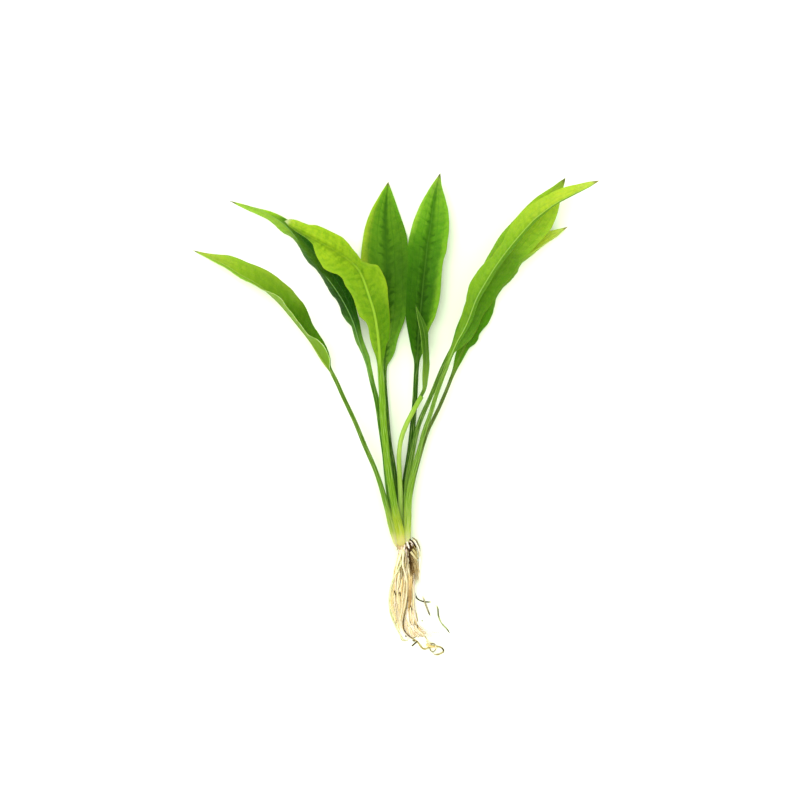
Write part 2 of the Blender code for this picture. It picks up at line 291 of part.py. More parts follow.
# --------------------------------------------------------------- leaf shape
class Leaf:
    """The form of one leaf: s runs from its base to its tip, v from the left
    margin (-1) over the centre line (0) to the right margin (1)."""

    def __init__(self, spec):
        self.spec = spec
        curve = smooth_curve(spec["mid"])
        t = np.linspace(0, 1, 1201)
        points = curve(t)
        run = np.concatenate([[0], np.cumsum(np.linalg.norm(np.diff(points[:, :2], axis=0), axis=1))])
        self.length = run[-1]
        self.route = lambda s: curve(np.interp(s, run / run[-1], t))
        s = np.linspace(0, 1, 1201)
        line, across = self.route(s), self.normal(s)
        self.edges, starts = [], []
        for key in ("left", "right"):
            outline = np.asarray(spec[key], float)
            found = []
            for x, y, dz in outline:
                i = int(np.argmin(np.hypot(line[:, 0] - x, line[:, 1] - y)))
                found.append([s[i], (x - line[i, 0]) * across[i, 0] + (y - line[i, 1]) * across[i, 1], dz])
            found = np.asarray(found)
            for i in range(1, len(found)):
                found[i, 0] = max(found[i, 0], found[i - 1, 0] + 2e-3)
            starts.append(found[0, 0])
            found = np.vstack([found[found[:, 0] < 0.998], [1.0, 0.0, 0.0]])
            sign = 1 if key == "left" else -1
            first = found[0, 0]
            width = float(self.stalk(first - 14 / self.length)[0][0]) / CHART
            found = np.vstack([[first - 14 / self.length, sign * width, 0.0], found])
            self.edges.append((monotone(found[:, 0], found[:, 1]), monotone(found[:, 0], found[:, 2])))
        self.start = min(starts)

    def normal(self, s):
        """The chart direction to the left of the centre line."""
        step = 2e-3
        d = self.route(np.minimum(s + step, 1)) - self.route(np.maximum(s - step, 0))
        d = d[..., :2] / np.linalg.norm(d[..., :2], axis=-1, keepdims=True)
        return np.stack([d[..., 1], -d[..., 0]], axis=-1)

    def stalk(self, s):
        """Half width and half depth of the stalk at s, in mm."""
        table = np.asarray(self.spec["stalk"], float)[::-1]
        y = self.route(np.atleast_1d(s))[:, 1]
        return np.interp(y, table[:, 0], table[:, 1]), np.interp(y, table[:, 0], table[:, 2])

    def blade(self, s):
        """0 on the stalk, 1 on the blade."""
        return ease((s - self.start + 10 / self.length) / (26 / self.length))

    def rib(self, s):
        """Half depth of the midrib at s, in mm."""
        depth = self.stalk(np.minimum(s, self.start))[1]
        along = np.clip((s - self.start) / (1 - self.start), 0, 1)
        return RIB_TIP + (depth - RIB_TIP) * (1 - along) ** 1.6

    def half(self, s, u, side):
        """Across-and-up position in mm, and the direction that faces up, at a
        part u of the way from the centre line to the margin."""
        wide, high = self.edges[side]
        e = wide(s) * CHART
        z = high(s)
        length = np.hypot(e, z) + 1e-9
        sign = 1 if side == 0 else -1
        bow = self.spec["arch"][side] * length
        cx, cz = 0.5 * e - sign * z / length * bow, 0.5 * z + sign * e / length * bow
        x = 2 * u * (1 - u) * cx + u * u * e
        h = 2 * u * (1 - u) * cz + u * u * z
        dx = 2 * (1 - 2 * u) * cx + 2 * u * e
        dh = 2 * (1 - 2 * u) * cz + 2 * u * z
        norm = np.hypot(dx, dh) + 1e-9
        fx, fz = -sign * dh / norm, sign * dx / norm
        amount, count, phase = self.spec["wave"][side]
        along = np.clip((s - self.start) / (1 - self.start), 0, 1)
        wave = amount * np.sin(2 * math.pi * (count * along + phase)) * u ** 2 * np.sin(math.pi * along) ** 0.5
        return x + wave * fx, h + wave * fz, fx, fz

    def ring(self, s, across):
        """Points round the leaf at s: over the top from the left margin to
        the right, then back below.  across lists v from -1 to 1."""
        centre, left = self.route(np.array([s]))[0], self.normal(np.array([s]))[0]
        a, b = (q[0] for q in self.stalk(s))
        k, rib = float(self.blade(s)), float(self.rib(s)[0])
        up = self.spec.get("rib_up", 0)
        top, under = [], []
        for v in across:
            side, u = (0 if v <= 0 else 1), abs(v)
            x, h, fx, fz = (float(q) for q in self.half(s, u, side))
            if u == 0:
                other = self.half(s, 0.0, 1)
                fx, fz = fx + float(other[2]), fz + float(other[3])
                norm = math.hypot(fx, fz) + 1e-9
                fx, fz = fx / norm, fz / norm
            t = LAMINA / 2 if u < 1 else 0.0
            over, below = (rib, t) if u == 0 and up else (t, rib) if u == 0 else (t, t)
            angle = math.pi * (1 - v) / 2
            px, pz = -math.cos(angle) * a, math.sin(angle) * b
            top.append(((1 - k) * px + k * (x + over * fx), (1 - k) * pz + k * (h + over * fz)))
            under.append(((1 - k) * px + k * (x - below * fx), -(1 - k) * pz + k * (h - below * fz)))
        ring = top + under[-2:0:-1]
        out = []
        for i, (x, h) in enumerate(ring):
            floor = 0.36 if 0 < i < len(top) - 1 else 0.0
            z = max(centre[2] + h, floor)
            out.append((centre[0] + left[0] * x / CHART, centre[1] + left[1] * x / CHART, z))
        return out


# --------------------------------------------------------------- root routes
def root_lines():
    """The roots' routes, spread in height until no two are nearer than their
    radii and ROOT_GAP.  Returns a list of (points, radii) in chart units and
    mm, the points ROOT_STEP apart."""
    lines = []
    for points, r0, r1, z0, z1 in ROOTS.values():
        flat = np.asarray(points, float)
        curve = smooth_curve(np.column_stack([flat, np.zeros(len(flat))]))
        fine = curve(np.linspace(0, 1, 600))
        run = np.concatenate([[0], np.cumsum(np.linalg.norm(np.diff(fine[:, :2], axis=0), axis=1))]) * CHART
        n = max(6, int(round(run[-1] / ROOT_STEP)) + 1)
        at = np.linspace(0, run[-1], n)
        xyz = np.column_stack([np.interp(at, run, fine[:, 0]), np.interp(at, run, fine[:, 1]), np.zeros(n)])
        part = at / run[-1]
        radius = r0 + (r1 - r0) * part
        fall = ease(at / 20.0)
        xyz[:, 2] = z0 + (z1 + radius - z0) * fall
        lines.append([xyz, radius])
    owner = np.concatenate([[i] * len(line[0]) for i, line in enumerate(lines)])
    p = np.vstack([line[0] for line in lines])
    p[:, :2] *= CHART
    home = p.copy()
    radius = np.concatenate([line[1] for line in lines])
    first = np.concatenate([[True], owner[1:] != owner[:-1]])
    last = np.concatenate([owner[1:] != owner[:-1], [True]])
    near_start = np.zeros(len(p))
    for i in range(len(lines)):
        index = np.flatnonzero(owner == i)
        near_start[index] = np.clip(np.arange(len(index)) / 4.0, 0.15, 1)
    apart = radius[:, None] + radius[None, :] + ROOT_GAP
    different = owner[:, None] != owner[None, :]
    inner = ~(first | last)
    for step in range(320):
        gap = p[:, None, :] - p[None, :, :]
        distance = np.sqrt((gap ** 2).sum(axis=2)) + 1e-9
        short = np.where(different & (distance < apart), apart - distance, 0.0)
        lift = np.where(np.abs(gap[:, :, 2]) > 1e-6, np.sign(gap[:, :, 2]), np.sign(owner[:, None] - owner[None, :]))
        push = np.zeros_like(p)
        push[:, 2] = (short * lift).sum(axis=1)
        push[:, :2] = 0.35 * (short[:, :, None] * gap[:, :, :2] / distance[:, :, None]).sum(axis=1)
        size = np.maximum(1.0, (short > 0).sum(axis=1))[:, None]
        p += 0.5 * push / size * near_start[:, None]
        bend = np.zeros_like(p)
        bend[1:-1] = p[:-2] + p[2:] - 2 * p[1:-1]
        bend[~inner] = 0
        p += (0.22 if step < 230 else 0.04) * bend
        if step < 260:
            p[:, :2] += 0.05 * (home[:, :2] - p[:, :2])
        if step < 200:
            p[:, 2] += 0.01 * (home[:, 2] - p[:, 2])
        p[:, 2] = np.maximum(p[:, 2], radius)
    p[:, :2] /= CHART
    return [(p[owner == i], radius[owner == i]) for i in range(len(lines))]


def thinned(points, within):
    """Indices of the points that keep a polyline within a distance in mm."""
    scaled = points * np.array([CHART, CHART, 1.0])
    keep, stack = {0, len(points) - 1}, [(0, len(points) - 1)]
    while stack:
        a, b = stack.pop()
        if b - a < 2:
            continue
        chord = scaled[b] - scaled[a]
        away = scaled[a + 1:b] - scaled[a]
        t = np.clip(away @ chord / (chord @ chord + 1e-12), 0, 1)
        off = np.linalg.norm(away - t[:, None] * chord, axis=1)
        worst = int(np.argmax(off))
        if off[worst] > within:
            middle = a + 1 + worst
            keep.add(middle)
            stack += [(a, middle), (middle, b)]
    return sorted(keep)


# ------------------------------------------------------------------ building
def clear_scene():
    for obj in list(bpy.data.objects):
        bpy.data.objects.remove(obj, do_unlink=True)


def material(name, colour, roughness):
    made = bpy.data.materials.new(name)
    made.use_nodes = True
    shader = made.node_tree.nodes["Principled BSDF"]
    shader.inputs["Base Color"].default_value = (*colour, 1.0)
    shader.inputs["Roughness"].default_value = roughness
    shader.inputs["Metallic"].default_value = 0.0
    return made


def add_object(name, data, collection, finish):
    obj = bpy.data.objects.new(name, data)
    data.materials.append(finish)
    collection.objects.link(obj)
    return obj


def loft(name, rings, tip=None):
    """A closed mesh through rings of equal count, capped at the start, and
    closed at the end by a cap or by one point."""
    bm = bmesh.new()
    rows = [[bm.verts.new(Vector(place(point))) for point in ring] for ring in rings]
    count = len(rows[0])
    for one, two in zip(rows, rows[1:]):
        for i in range(count):
            j = (i + 1) % count
            bm.faces.new((one[i], one[j], two[j], two[i]))
    bm.faces.new(rows[0][::-1])
    if tip is None:
        bm.faces.new(rows[-1])
    else:
        end = bm.verts.new(Vector(place(tip)))
        for i in range(count):
            bm.faces.new((rows[-1][i], rows[-1][(i + 1) % count], end))
    bmesh.ops.triangulate(bm, faces=bm.faces, quad_method="SHORT_EDGE")
    bmesh.ops.recalc_face_normals(bm, faces=bm.faces)
    if bm.calc_volume(signed=True) < 0:
        bmesh.ops.reverse_faces(bm, faces=bm.faces)
    mesh = bpy.data.meshes.new(name)
    bm.to_mesh(mesh)
    bm.free()
    mesh.shade_smooth()
    return mesh


def make_leaf(name, spec, collection):
    leaf = Leaf(spec)
    stalk = leaf.start * (np.linspace(0, 1, PETIOLE_RINGS + 1)[:-1])
    part = np.linspace(0, 1, BLADE_RINGS + 1)[:-1]
    part = part + 0.05 * np.sin(2 * math.pi * part) * -1
    blade = leaf.start + (1 - leaf.start) * part
    rings = [leaf.ring(float(s), (-1, -0.5, 0, 0.5, 1)) for s in np.concatenate([stalk, blade])]
    tip = leaf.route(np.array([1.0]))[0]
    mesh = loft(name, rings, tip)
    return add_object(name, mesh, collection, material(name + "_green", spec["colour"], 0.4))


def make_cut_stalk(collection):
    table = np.asarray(CUT_STALK, float)
    curve = smooth_curve(table)
    rings = []
    for t in np.linspace(0, 1, 19):
        x, y, z, a, b = curve(np.array([t]))[0]
        d = (curve(np.array([min(t + 0.004, 1)])) - curve(np.array([max(t - 0.004, 0)])))[0, :2]
        d /= np.linalg.norm(d)
        ring = []
        for i in range(8):
            angle = math.pi - i * math.pi / 4
            ring.append((x - d[1] * math.cos(angle) * a / CHART, y + d[0] * math.cos(angle) * a / CHART, z + math.sin(angle) * b))
        rings.append(ring)
    return add_object("cut_stalk", loft("cut_stalk", rings), collection, material("cut_stalk_green", (0.42, 0.62, 0.08), 0.4))


def make_crown(collection):
    """The short knotted stem between the leaf bases and the roots."""
    bm = bmesh.new()
    bmesh.ops.create_uvsphere(bm, u_segments=14, v_segments=9, radius=1.0)
    middle = place(CROWN_MID)
    for vert in bm.verts:
        x, y, z = vert.co
        shape = [math.copysign(abs(q) ** 0.72, q) for q in (x, z, y)]
        lump = 1 + 0.035 * math.sin(3 * shape[0] + 4 * shape[2]) * math.cos(4 * shape[1])
        vert.co = Vector([middle[i] + 0.001 * CROWN_SIZE[i] * shape[i] * (lump if i != 1 else 1) for i in range(3)])
    bmesh.ops.recalc_face_normals(bm, faces=bm.faces)
    mesh = bpy.data.meshes.new("crown")
    bm.to_mesh(mesh)
    bm.free()
    mesh.shade_smooth()
    return add_object("crown", mesh, collection, material("crown_brown", (0.3, 0.2, 0.08), 0.8))


def make_roots(collection):
    pale = material("root_cream", (0.86, 0.74, 0.5), 0.6)
    dark = material("root_brown", (0.4, 0.26, 0.1), 0.6)
    for (name, spec), (points, radius) in zip(ROOTS.items(), root_lines()):
        keep = thinned(points, 0.10)
        curve = bpy.data.curves.new(name, "CURVE")
        curve.dimensions = "3D"
        curve.bevel_depth = 0.001 * spec[1]
        curve.bevel_resolution = 1
        curve.use_fill_caps = True
        spline = curve.splines.new("POLY")
        spline.points.add(len(keep) - 1)
        for point, i in zip(spline.points, keep):
            point.co = (*place(points[i]), 1.0)
            point.radius = radius[i] / spec[1]
        add_object(name, curve, collection, dark if name in ("root_brown_loop", "root_wire", "root_olive") else pale)


def main():
    clear_scene()
    plant = bpy.data.collections.new("Amazon sword plant")
    bpy.context.scene.collection.children.link(plant)
    for name, spec in LEAVES.items():
        make_leaf(name, spec, plant)
    make_cut_stalk(plant)
    make_crown(plant)
    make_roots(plant)


main()
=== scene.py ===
"""The looks of the bare-root amazon sword plant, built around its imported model.

Nine leaves, the trimmed stalk, the crown and the roots are made as detailed
meshes along the same routes and outlines as the solids they stand for.  Chart
units, heights and the frame are those of the model: x to the right, y down
the chart, z up in mm from the surface.
"""

import math

import bpy
import numpy as np
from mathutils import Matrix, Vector


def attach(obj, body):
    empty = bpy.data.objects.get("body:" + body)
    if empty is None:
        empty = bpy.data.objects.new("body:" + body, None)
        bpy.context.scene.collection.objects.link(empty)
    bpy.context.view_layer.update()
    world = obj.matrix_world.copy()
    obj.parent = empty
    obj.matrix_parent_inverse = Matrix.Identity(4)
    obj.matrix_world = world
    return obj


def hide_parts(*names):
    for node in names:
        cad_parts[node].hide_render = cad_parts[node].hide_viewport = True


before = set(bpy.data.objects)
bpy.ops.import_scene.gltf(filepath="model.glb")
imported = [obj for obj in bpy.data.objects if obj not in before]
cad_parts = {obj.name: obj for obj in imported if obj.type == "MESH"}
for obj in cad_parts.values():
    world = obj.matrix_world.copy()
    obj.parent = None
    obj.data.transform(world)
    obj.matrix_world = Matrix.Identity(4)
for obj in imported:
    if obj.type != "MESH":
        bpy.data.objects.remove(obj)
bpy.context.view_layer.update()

# ---------------------------------------------------------------- dimensions
CHART = 0.52          # mm of the surface for one chart unit
EYE = 950.0           # height in mm of the point the chart is seen from
CHART_MID = (400.0, 400.0)
SHIFT = (3.208, 7.880)    # mm, sets the origin under the middle of the plant
LAMINA = 0.50         # leaf blade thickness, mm
RIB_TIP = 0.22        # midrib depth at the leaf tip, mm
PETIOLE_RINGS = 10
BLADE_RINGS = 26
ROOT_GAP = 0.56       # least clear distance between two roots, mm
ROOT_STEP = 1.0       # spacing of the points that settle a root's route, mm
CROWN_MID = (404.6, 546.2, 5.1)    # chart x, chart y, z in mm
CROWN_SIZE = (4.25, 2.55, 4.35)    # half sizes in mm along X, Y, Z

# ------------------------------------------------------------------- leaves
# mid: chart x, chart y, z of the centre line, from the crown to the tip.
# left, right: outline of each half of the blade from its base to its tip, as
# chart x, chart y, and height in mm above the centre line beside it.
# stalk: chart y, half width and half depth in mm of the stalk.
# arch: how far each half bows, as a part of its width.  wave: height of the
# margin's waves in mm, how many, and their start, for each half.
LEAVES = {
    "leaf_far_left": dict(
        mid=[(395.5, 540.5, 7.2), (392, 525, 8.0), (387.2, 508, 8.6), (382.4, 491, 9.0), (375, 469, 9.5),
             (365.4, 447, 9.9), (354.5, 420.6, 9.8), (342.4, 395, 8.8), (333.4, 376, 7.6), (322.8, 360.6, 6.6),
             (311.4, 342.6, 5.8), (302.8, 331.4, 5.4), (293.8, 320.4, 5.2), (283.8, 308.4, 5.0), (273.7, 297.9, 4.9),
             (263.5, 289.3, 4.9), (254.3, 282.8, 5.0), (242, 275.9, 5.2), (229, 267.6, 5.6), (216, 260.4, 6.2),
             (204, 254.8, 7.0), (192.7, 250.2, 8.2)],
        left=[(331, 368, 1.2), (329.5, 357, 4.0), (326, 349, 5.6), (316.6, 339.5, 7.8), (308.5, 334.4, 9.0),
              (304, 329, 9.2), (297, 321, 9.4), (291, 311, 9.4), (280, 298.6, 9.0), (270, 291.8, 8.2),
              (261, 288.9, 7.0), (251, 284.2, 5.2), (240, 278, 3.6), (229, 271, 2.6), (219, 264.8, 2.0),
              (209.5, 259.8, 1.4), (200, 255, 0.7)],
        right=[(334.5, 373, 0.0), (332, 367.6, -1.0), (330.4, 357, -2.2), (327, 348, -3.4), (321, 338, -4.2),
               (314.6, 327, -4.6), (309.5, 315.5, -4.9), (304, 305, -5.2), (298, 297, -5.2), (292, 288.5, -5.2),
               (282, 281, -5.3), (272, 274, -5.3), (256, 265, -5.0), (242, 260, -3.6), (229, 255.5, -2.2),
               (216, 254, -1.2), (205, 252.8, -0.6)],
        stalk=[(540.5, 1.5, 1.05), (532, 2.0, 1.15), (522, 2.05, 1.2), (508, 1.5, 1.15), (470, 1.2, 1.05), (376, 1.05, 0.95)],
        arch=(-0.05, 0.10), wave=((0.35, 6.5, 0.1), (0.45, 5.0, 0.35)), colour=(0.22, 0.42, 0.06)),
    "leaf_left_back": dict(
        mid=[(395, 540.5, 4.6), (393.6, 525, 4.9), (391.2, 508, 5.2), (388.4, 490, 5.7), (385.4, 460, 6.4),
             (381.4, 430, 7.2), (378.6, 411, 7.9), (375, 393, 8.6), (369.7, 376, 9.2), (364, 357, 9.8),
             (358.4, 340, 10.2), (353.4, 323, 10.6), (347.6, 310, 10.9), (342.8, 301, 11.0), (337.4, 292.2, 11.2),
             (331.0, 283.0, 11.3), (323.8, 274.0, 11.3), (314.4, 261.4, 11.1), (304.2, 248.8, 10.8), (294.9, 236.2, 10.4),
             (284.6, 225, 10.0), (271, 215.6, 9.4), (257, 208.6, 9.0), (243, 204.2, 8.8), (229.8, 201, 9.0)],
        left=[(370.8, 384, 0.0), (366.8, 368, -1.6), (361.0, 352.5, -3.2), (355.0, 338, -4.4), (351.0, 327, -5.4),
              (345.6, 320.6, -6.2), (342.8, 313.6, -6.6), (340.2, 306.2, -7.0), (335.4, 300.0, -7.4), (331.8, 296.4, -7.6),
              (327, 285.4, -8.0), (322.2, 277.4, -8.2), (315.8, 270.2, -8.2), (308.8, 263.2, -8.0), (305.2, 256.6, -7.6),
              (300.8, 249.4, -7.0), (292.2, 239.0, -6.0), (282.6, 231.6, -4.6), (273.2, 224.0, -3.2), (262, 217.0, -2.0),
              (248.8, 210.8, -1.0), (237, 205.4, -0.4)],
        right=[(374.4, 378, 0.2), (371.4, 366, 0.0), (369.6, 356, -0.4), (366, 347, -0.8), (362, 336, -1.0),
               (359.5, 322, -1.2), (356.5, 308, -1.4), (353, 294, -1.4), (347, 280, -1.4), (339, 267, -1.2),
               (330, 256, -1.0), (319, 246, -0.8), (307, 235, -0.6), (296, 226, -0.4), (288, 219.8, -0.2),
               (281, 215.8, 0.0), (270.5, 211.3, 0.0), (258, 208, 0.0), (247, 205.4, 0.0), (237, 203, 0.0)],
        stalk=[(540.5, 1.3, 0.95), (520, 1.4, 1.0), (490, 1.4, 1.0), (430, 1.45, 1.05), (376, 1.25, 1.0)],
        arch=(0.12, 0.10), wave=((0.5, 7.0, 0.0), (0.5, 5.0, 0.2)), colour=(0.13, 0.32, 0.04)),
    "leaf_left_front": dict(
        mid=[(400.8, 540.5, 9.2), (400, 532, 9.8), (397.4, 521, 10.5), (394, 503, 11.3), (390.2, 481, 12.4),
             (388.0, 467, 13.2), (385.7, 445, 14.4), (383.7, 425, 15.5), (382.1, 396, 17.2), (380.6, 372, 18.6),
             (379.8, 360, 19.3), (379, 346.5, 20.0), (376.8, 327, 21.0), (373.2, 309, 22.0), (368.4, 294, 23.0),
             (364, 281, 24.0), (358.5, 270, 24.7), (346, 258, 25.4), (329, 247, 25.6), (310, 236.6, 25.0),
             (297.7, 229.4, 24.2), (284.5, 221, 23.2)],
        left=[(377.2, 366, 0.0), (375.6, 358, -0.5), (372.6, 348, -1.0), (370, 338, -1.5), (366.4, 323.6, -2.0),
              (359.5, 316, -2.4), (356.4, 308, -2.6), (351.6, 295.6, -2.8), (344.6, 283.5, -3.0), (337.7, 274.6, -3.2),
              (331.6, 272.2, -3.4), (324.4, 269, -3.4), (318.3, 260.0, -3.2), (314.4, 249.5, -2.8), (312.6, 243.6, -2.4),
              (307.6, 239.4, -1.8), (297.4, 232.8, -1.0), (290.6, 227.4, -0.4)],
        right=[(383.4, 364, 0.0), (384.6, 356, -0.6), (386.4, 346, -1.2), (389.4, 339, -1.8), (389.8, 328, -2.2),
               (389.6, 314, -2.6), (388.6, 298, -3.0), (386.6, 285, -3.2), (382.8, 273.4, -3.4), (378.6, 265.6, -3.4),
               (369.4, 263.2, -3.4), (361.6, 259.6, -3.2), (353.8, 251, -3.0), (347.4, 242.4, -2.8), (341, 236, -2.6),
               (328, 230, -2.2), (317, 225.4, -1.8), (308.6, 224.4, -1.4), (299.6, 220.9, -0.8), (290.4, 219, -0.3)],
        stalk=[(540.5, 2.15, 0.85), (532, 2.2, 0.95), (521, 2.15, 1.0), (503, 1.75, 1.1), (481, 1.7, 1.15),
               (430, 1.65, 1.2), (396, 1.7, 1.2), (372, 1.5, 1.15)],
        arch=(0.08, 0.08), wave=((0.5, 6.0, 0.45), (0.6, 5.0, 0.15)), rib_up=1, colour=(0.33, 0.6, 0.05)),
    "leaf_middle_left": dict(
        mid=[(397.0, 540.5, 2.3), (397.7, 525, 2.3), (397.6, 505, 2.3), (395.4, 481, 2.3), (393.3, 465, 2.4),
             (390.6, 451, 2.5), (388.3, 433, 2.6), (386.4, 408, 2.5), (384.5, 380, 2.3), (385.0, 360, 2.0),
             (386.2, 340, 1.6), (387.2, 315, 1.1), (387.3, 290, 0.6), (387, 268, 0.15), (386, 245, -0.1),
             (385.3, 224, -0.1), (386, 203, 0.5), (388.2, 181.4, 2.6)],
        left=[(382, 370, 0.1), (378, 361, 0.5), (374, 348, 0.9), (371.6, 338, 1.2), (367.6, 323, 1.4), (363.8, 308, 1.5),
              (361.3, 290, 1.5), (360.6, 270, 1.4), (361.2, 252, 1.2), (363.4, 235, 1.1), (369.8, 213, 1.0), (379.4, 195.5, 0.8),
              (384.4, 187.4, 0.4)],
        right=[(387.4, 368, 0.1), (391.4, 360, 0.5), (395.2, 351, 1.0), (398.2, 337.5, 1.4), (404.6, 320, 1.8), (408.4, 303, 2.0),
               (409.2, 285, 2.0), (409.2, 262, 1.7), (407.6, 241, 1.4), (404.4, 228, 1.2), (400, 214.5, 1.0), (393.6, 196, 0.8),
               (390.6, 188, 0.4)],
        stalk=[(540.5, 1.2, 0.85), (505, 1.2, 0.95), (451, 1.2, 1.0), (408, 1.2, 1.0), (378, 1.15, 0.95)],
        arch=(-0.06, -0.06), wave=((0.3, 6.0, 0.2), (0.35, 5.5, 0.6)), colour=(0.12, 0.36, 0.03)),
    "leaf_middle_right": dict(
        mid=[(402.8, 540.5, 2.4), (403.2, 520, 2.7), (403.3, 500, 3.0), (404.6, 483, 3.5), (408.4, 460, 4.2),
             (411.2, 440, 4.8), (412.7, 426, 5.2), (414.8, 400, 5.8), (416.6, 366, 6.5), (417.6, 350, 6.9),
             (418.8, 330, 7.3), (421.2, 304, 7.7), (423.8, 277, 8.0), (426.2, 256, 8.2), (427.6, 243, 8.2),
             (430.4, 227.6, 8.2), (433.4, 203.5, 8.4), (436.8, 186, 8.9), (440.4, 172.7, 10.0)],
        left=[(413.4, 364, 0.1), (411.6, 352, 0.3), (407.9, 332, 0.6), (405.8, 317, 0.8), (405.9, 300, 1.0), (407, 280, 1.1),
              (407.8, 260, 1.2), (408.6, 240, 1.3), (411.8, 226, 1.3), (418.3, 209, 1.2), (428, 190.5, 0.9), (434.6, 180.6, 0.5)],
        right=[(419.8, 364, 0.1), (423, 353, 0.5), (429, 330, 1.1), (435.9, 315.5, 1.6), (439.8, 297, 1.9), (441.9, 277, 2.0),
               (443.2, 262, 2.0), (446.7, 249, 2.0), (448.9, 234, 2.0), (448.8, 215.6, 1.8), (445.6, 199, 1.4), (441.6, 184, 0.8),
               (441, 177.6, 0.3)],
        stalk=[(540.5, 1.15, 0.85), (500, 1.25, 0.95), (460, 1.4, 1.0), (426, 1.42, 1.05), (400, 1.32, 1.05), (366, 1.2, 1.0)],
        arch=(-0.06, -0.07), wave=((0.3, 5.5, 0.5), (0.45, 4.5, 0.05)), colour=(0.1, 0.33, 0.03)),
    "leaf_young": dict(
        mid=[(401, 540.5, 4.7), (401.6, 520, 5.0), (401, 500, 5.4), (400.1, 485, 5.8), (399.6, 470, 6.3),
             (399.6, 455, 6.9), (401.4, 440, 7.5), (405.8, 426, 8.1), (413, 411.5, 8.9), (420, 398, 10.0),
             (424.2, 389, 10.7), (425.4, 380, 11.3), (426.0, 368, 11.8), (425.9, 350, 12.1), (424.4, 334, 12.4),
             (420.4, 318, 12.6), (415.6, 305.3, 12.9)],
        left=[(421.9, 390, 0.2), (422.0, 383, 0.9), (422.7, 367, 1.9), (422.4, 355, 2.3), (421.3, 340, 2.4),
              (418.4, 323, 1.8), (416.0, 309, 0.6)],
        right=[(426, 390, 0.2), (427.6, 383, 0.8), (429.6, 367, 1.6), (429.1, 357, 2.0), (428.6, 344, 2.2),
               (427.8, 331, 1.9), (423.8, 320, 1.3), (418.3, 310, 0.5)],
        stalk=[(540.5, 0.85, 0.6), (500, 0.9, 0.6), (455, 0.9, 0.62), (411, 0.85, 0.62), (394, 0.95, 0.7), (385, 1.1, 0.7)],
        arch=(-0.12, -0.12), wave=((0.1, 3.0, 0.2), (0.1, 3.0, 0.6)), colour=(0.2, 0.4, 0.05)),
    "leaf_right_front": dict(
        mid=[(406.5, 540.5, 7.6), (407, 530, 8.2), (407.6, 518, 8.9), (408.4, 500, 9.8), (411.8, 480, 11.0),
             (416.6, 460, 12.2), (420.6, 445, 13.1), (424.6, 430, 14.0), (428.4, 420, 14.6), (434.6, 400, 16.0),
             (441.6, 380, 17.2), (448.6, 362, 18.3), (452.6, 352, 19.0), (457.6, 341, 19.9), (463, 331.5, 20.8),
             (469, 318.5, 21.8), (476.4, 299, 23.4), (484.6, 284, 24.8), (493.4, 269.6, 26.0), (503.6, 255, 27.2),
             (514, 242, 28.2), (523.4, 231, 29.0), (534, 219.6, 29.6), (545.6, 210.4, 30.0), (556.5, 202.8, 30.2),
             (567, 197.2, 30.2), (577.4, 192.2, 30.1), (588.4, 187, 30.1), (599.6, 180.4, 30.6)],
        left=[(445.6, 363, -0.2), (448.6, 353, -0.8), (452.6, 342.5, -1.6), (457, 331.5, -2.2), (459.8, 324, -2.8),
              (462.2, 312, -3.4), (465.3, 301.5, -4.0), (467.6, 291, -4.4), (471.6, 280.5, -4.8), (477, 271.5, -5.0),
              (484.6, 262.6, -5.2), (493.2, 255.6, -5.2), (500.6, 245.4, -5.0), (506, 234, -4.8), (512.6, 222.6, -4.4),
              (521, 212.6, -4.0), (531, 203.8, -3.6), (539, 199, -3.2), (549, 194.2, -2.8), (557, 190.2, -2.4),
              (566, 186.8, -2.0), (577, 184.2, -1.4), (588, 181.8, -0.8)],
        right=[(450.8, 360, -0.8), (455, 351, -3.0), (460.3, 341, -4.8), (465.8, 331.6, -5.8), (471.8, 319, -6.6),
               (479, 300.2, -7.6), (487, 285.2, -8.0), (495.8, 271, -8.2), (506, 256.4, -8.2), (516.2, 243.4, -8.0),
               (525.2, 232.2, -7.6), (535.4, 220.4, -7.0), (546.4, 211.2, -6.2), (557, 203.3, -5.2), (567.3, 197.6, -4.0),
               (577.6, 192.7, -3.0), (588.5, 187.5, -1.8)],
        stalk=[(540.5, 1.6, 1.05), (530, 1.9, 1.1), (518, 2.05, 1.15), (500, 1.85, 1.2), (480, 1.45, 1.2), (445, 1.15, 1.15), (362, 1.1, 1.05)],
        arch=(0.12, 0.22), wave=((0.25, 6.0, 0.3), (0.4, 6.0, 0.1)), colour=(0.38, 0.62, 0.07)),
    "leaf_right_middle": dict(
        mid=[(406.6, 540.5, 4.9), (406.4, 520, 5.6), (405.8, 500, 6.4), (407.8, 480, 7.2), (411.2, 460, 8.0),
             (413.8, 445, 8.6), (417.2, 430, 9.1), (420.4, 420, 9.5), (429.2, 400, 10.2), (437.4, 380, 10.9),
             (445.6, 361, 11.5), (452, 349, 11.9), (460.4, 334, 12.3), (469, 318, 12.6), (478.6, 300, 12.8),
             (489.6, 281.6, 13.0), (502.4, 262, 13.2), (515, 243.6, 13.5), (527, 227.6, 13.9), (539, 211.6, 14.4),
             (550, 196.6, 15.0), (558.6, 186, 15.6), (565.6, 177.6, 16.4)],
        left=[(446, 355.6, 0.0), (449.9, 348, -0.2), (453.8, 336.5, -0.4), (456.2, 328, -0.6), (459.6, 319, -0.8),
              (464.6, 307, -1.0), (470, 294, -1.2), (475, 282.4, -1.4), (480.8, 270.6, -1.4), (488, 255.6, -1.4),
              (499.6, 236.4, -1.4), (506.8, 227.6, -1.2), (514, 219.6, -1.2), (522.8, 210, -1.0), (531, 202, -0.9),
              (536.5, 197, -0.8), (545.6, 190.9, -0.6), (553, 186.3, -0.4), (559.6, 181.5, -0.2)],
        right=[(449.6, 358.6, 0.0), (456.4, 351.6, -0.4), (463.6, 346, -1.0), (470.8, 339.4, -1.6), (476, 331, -2.0),
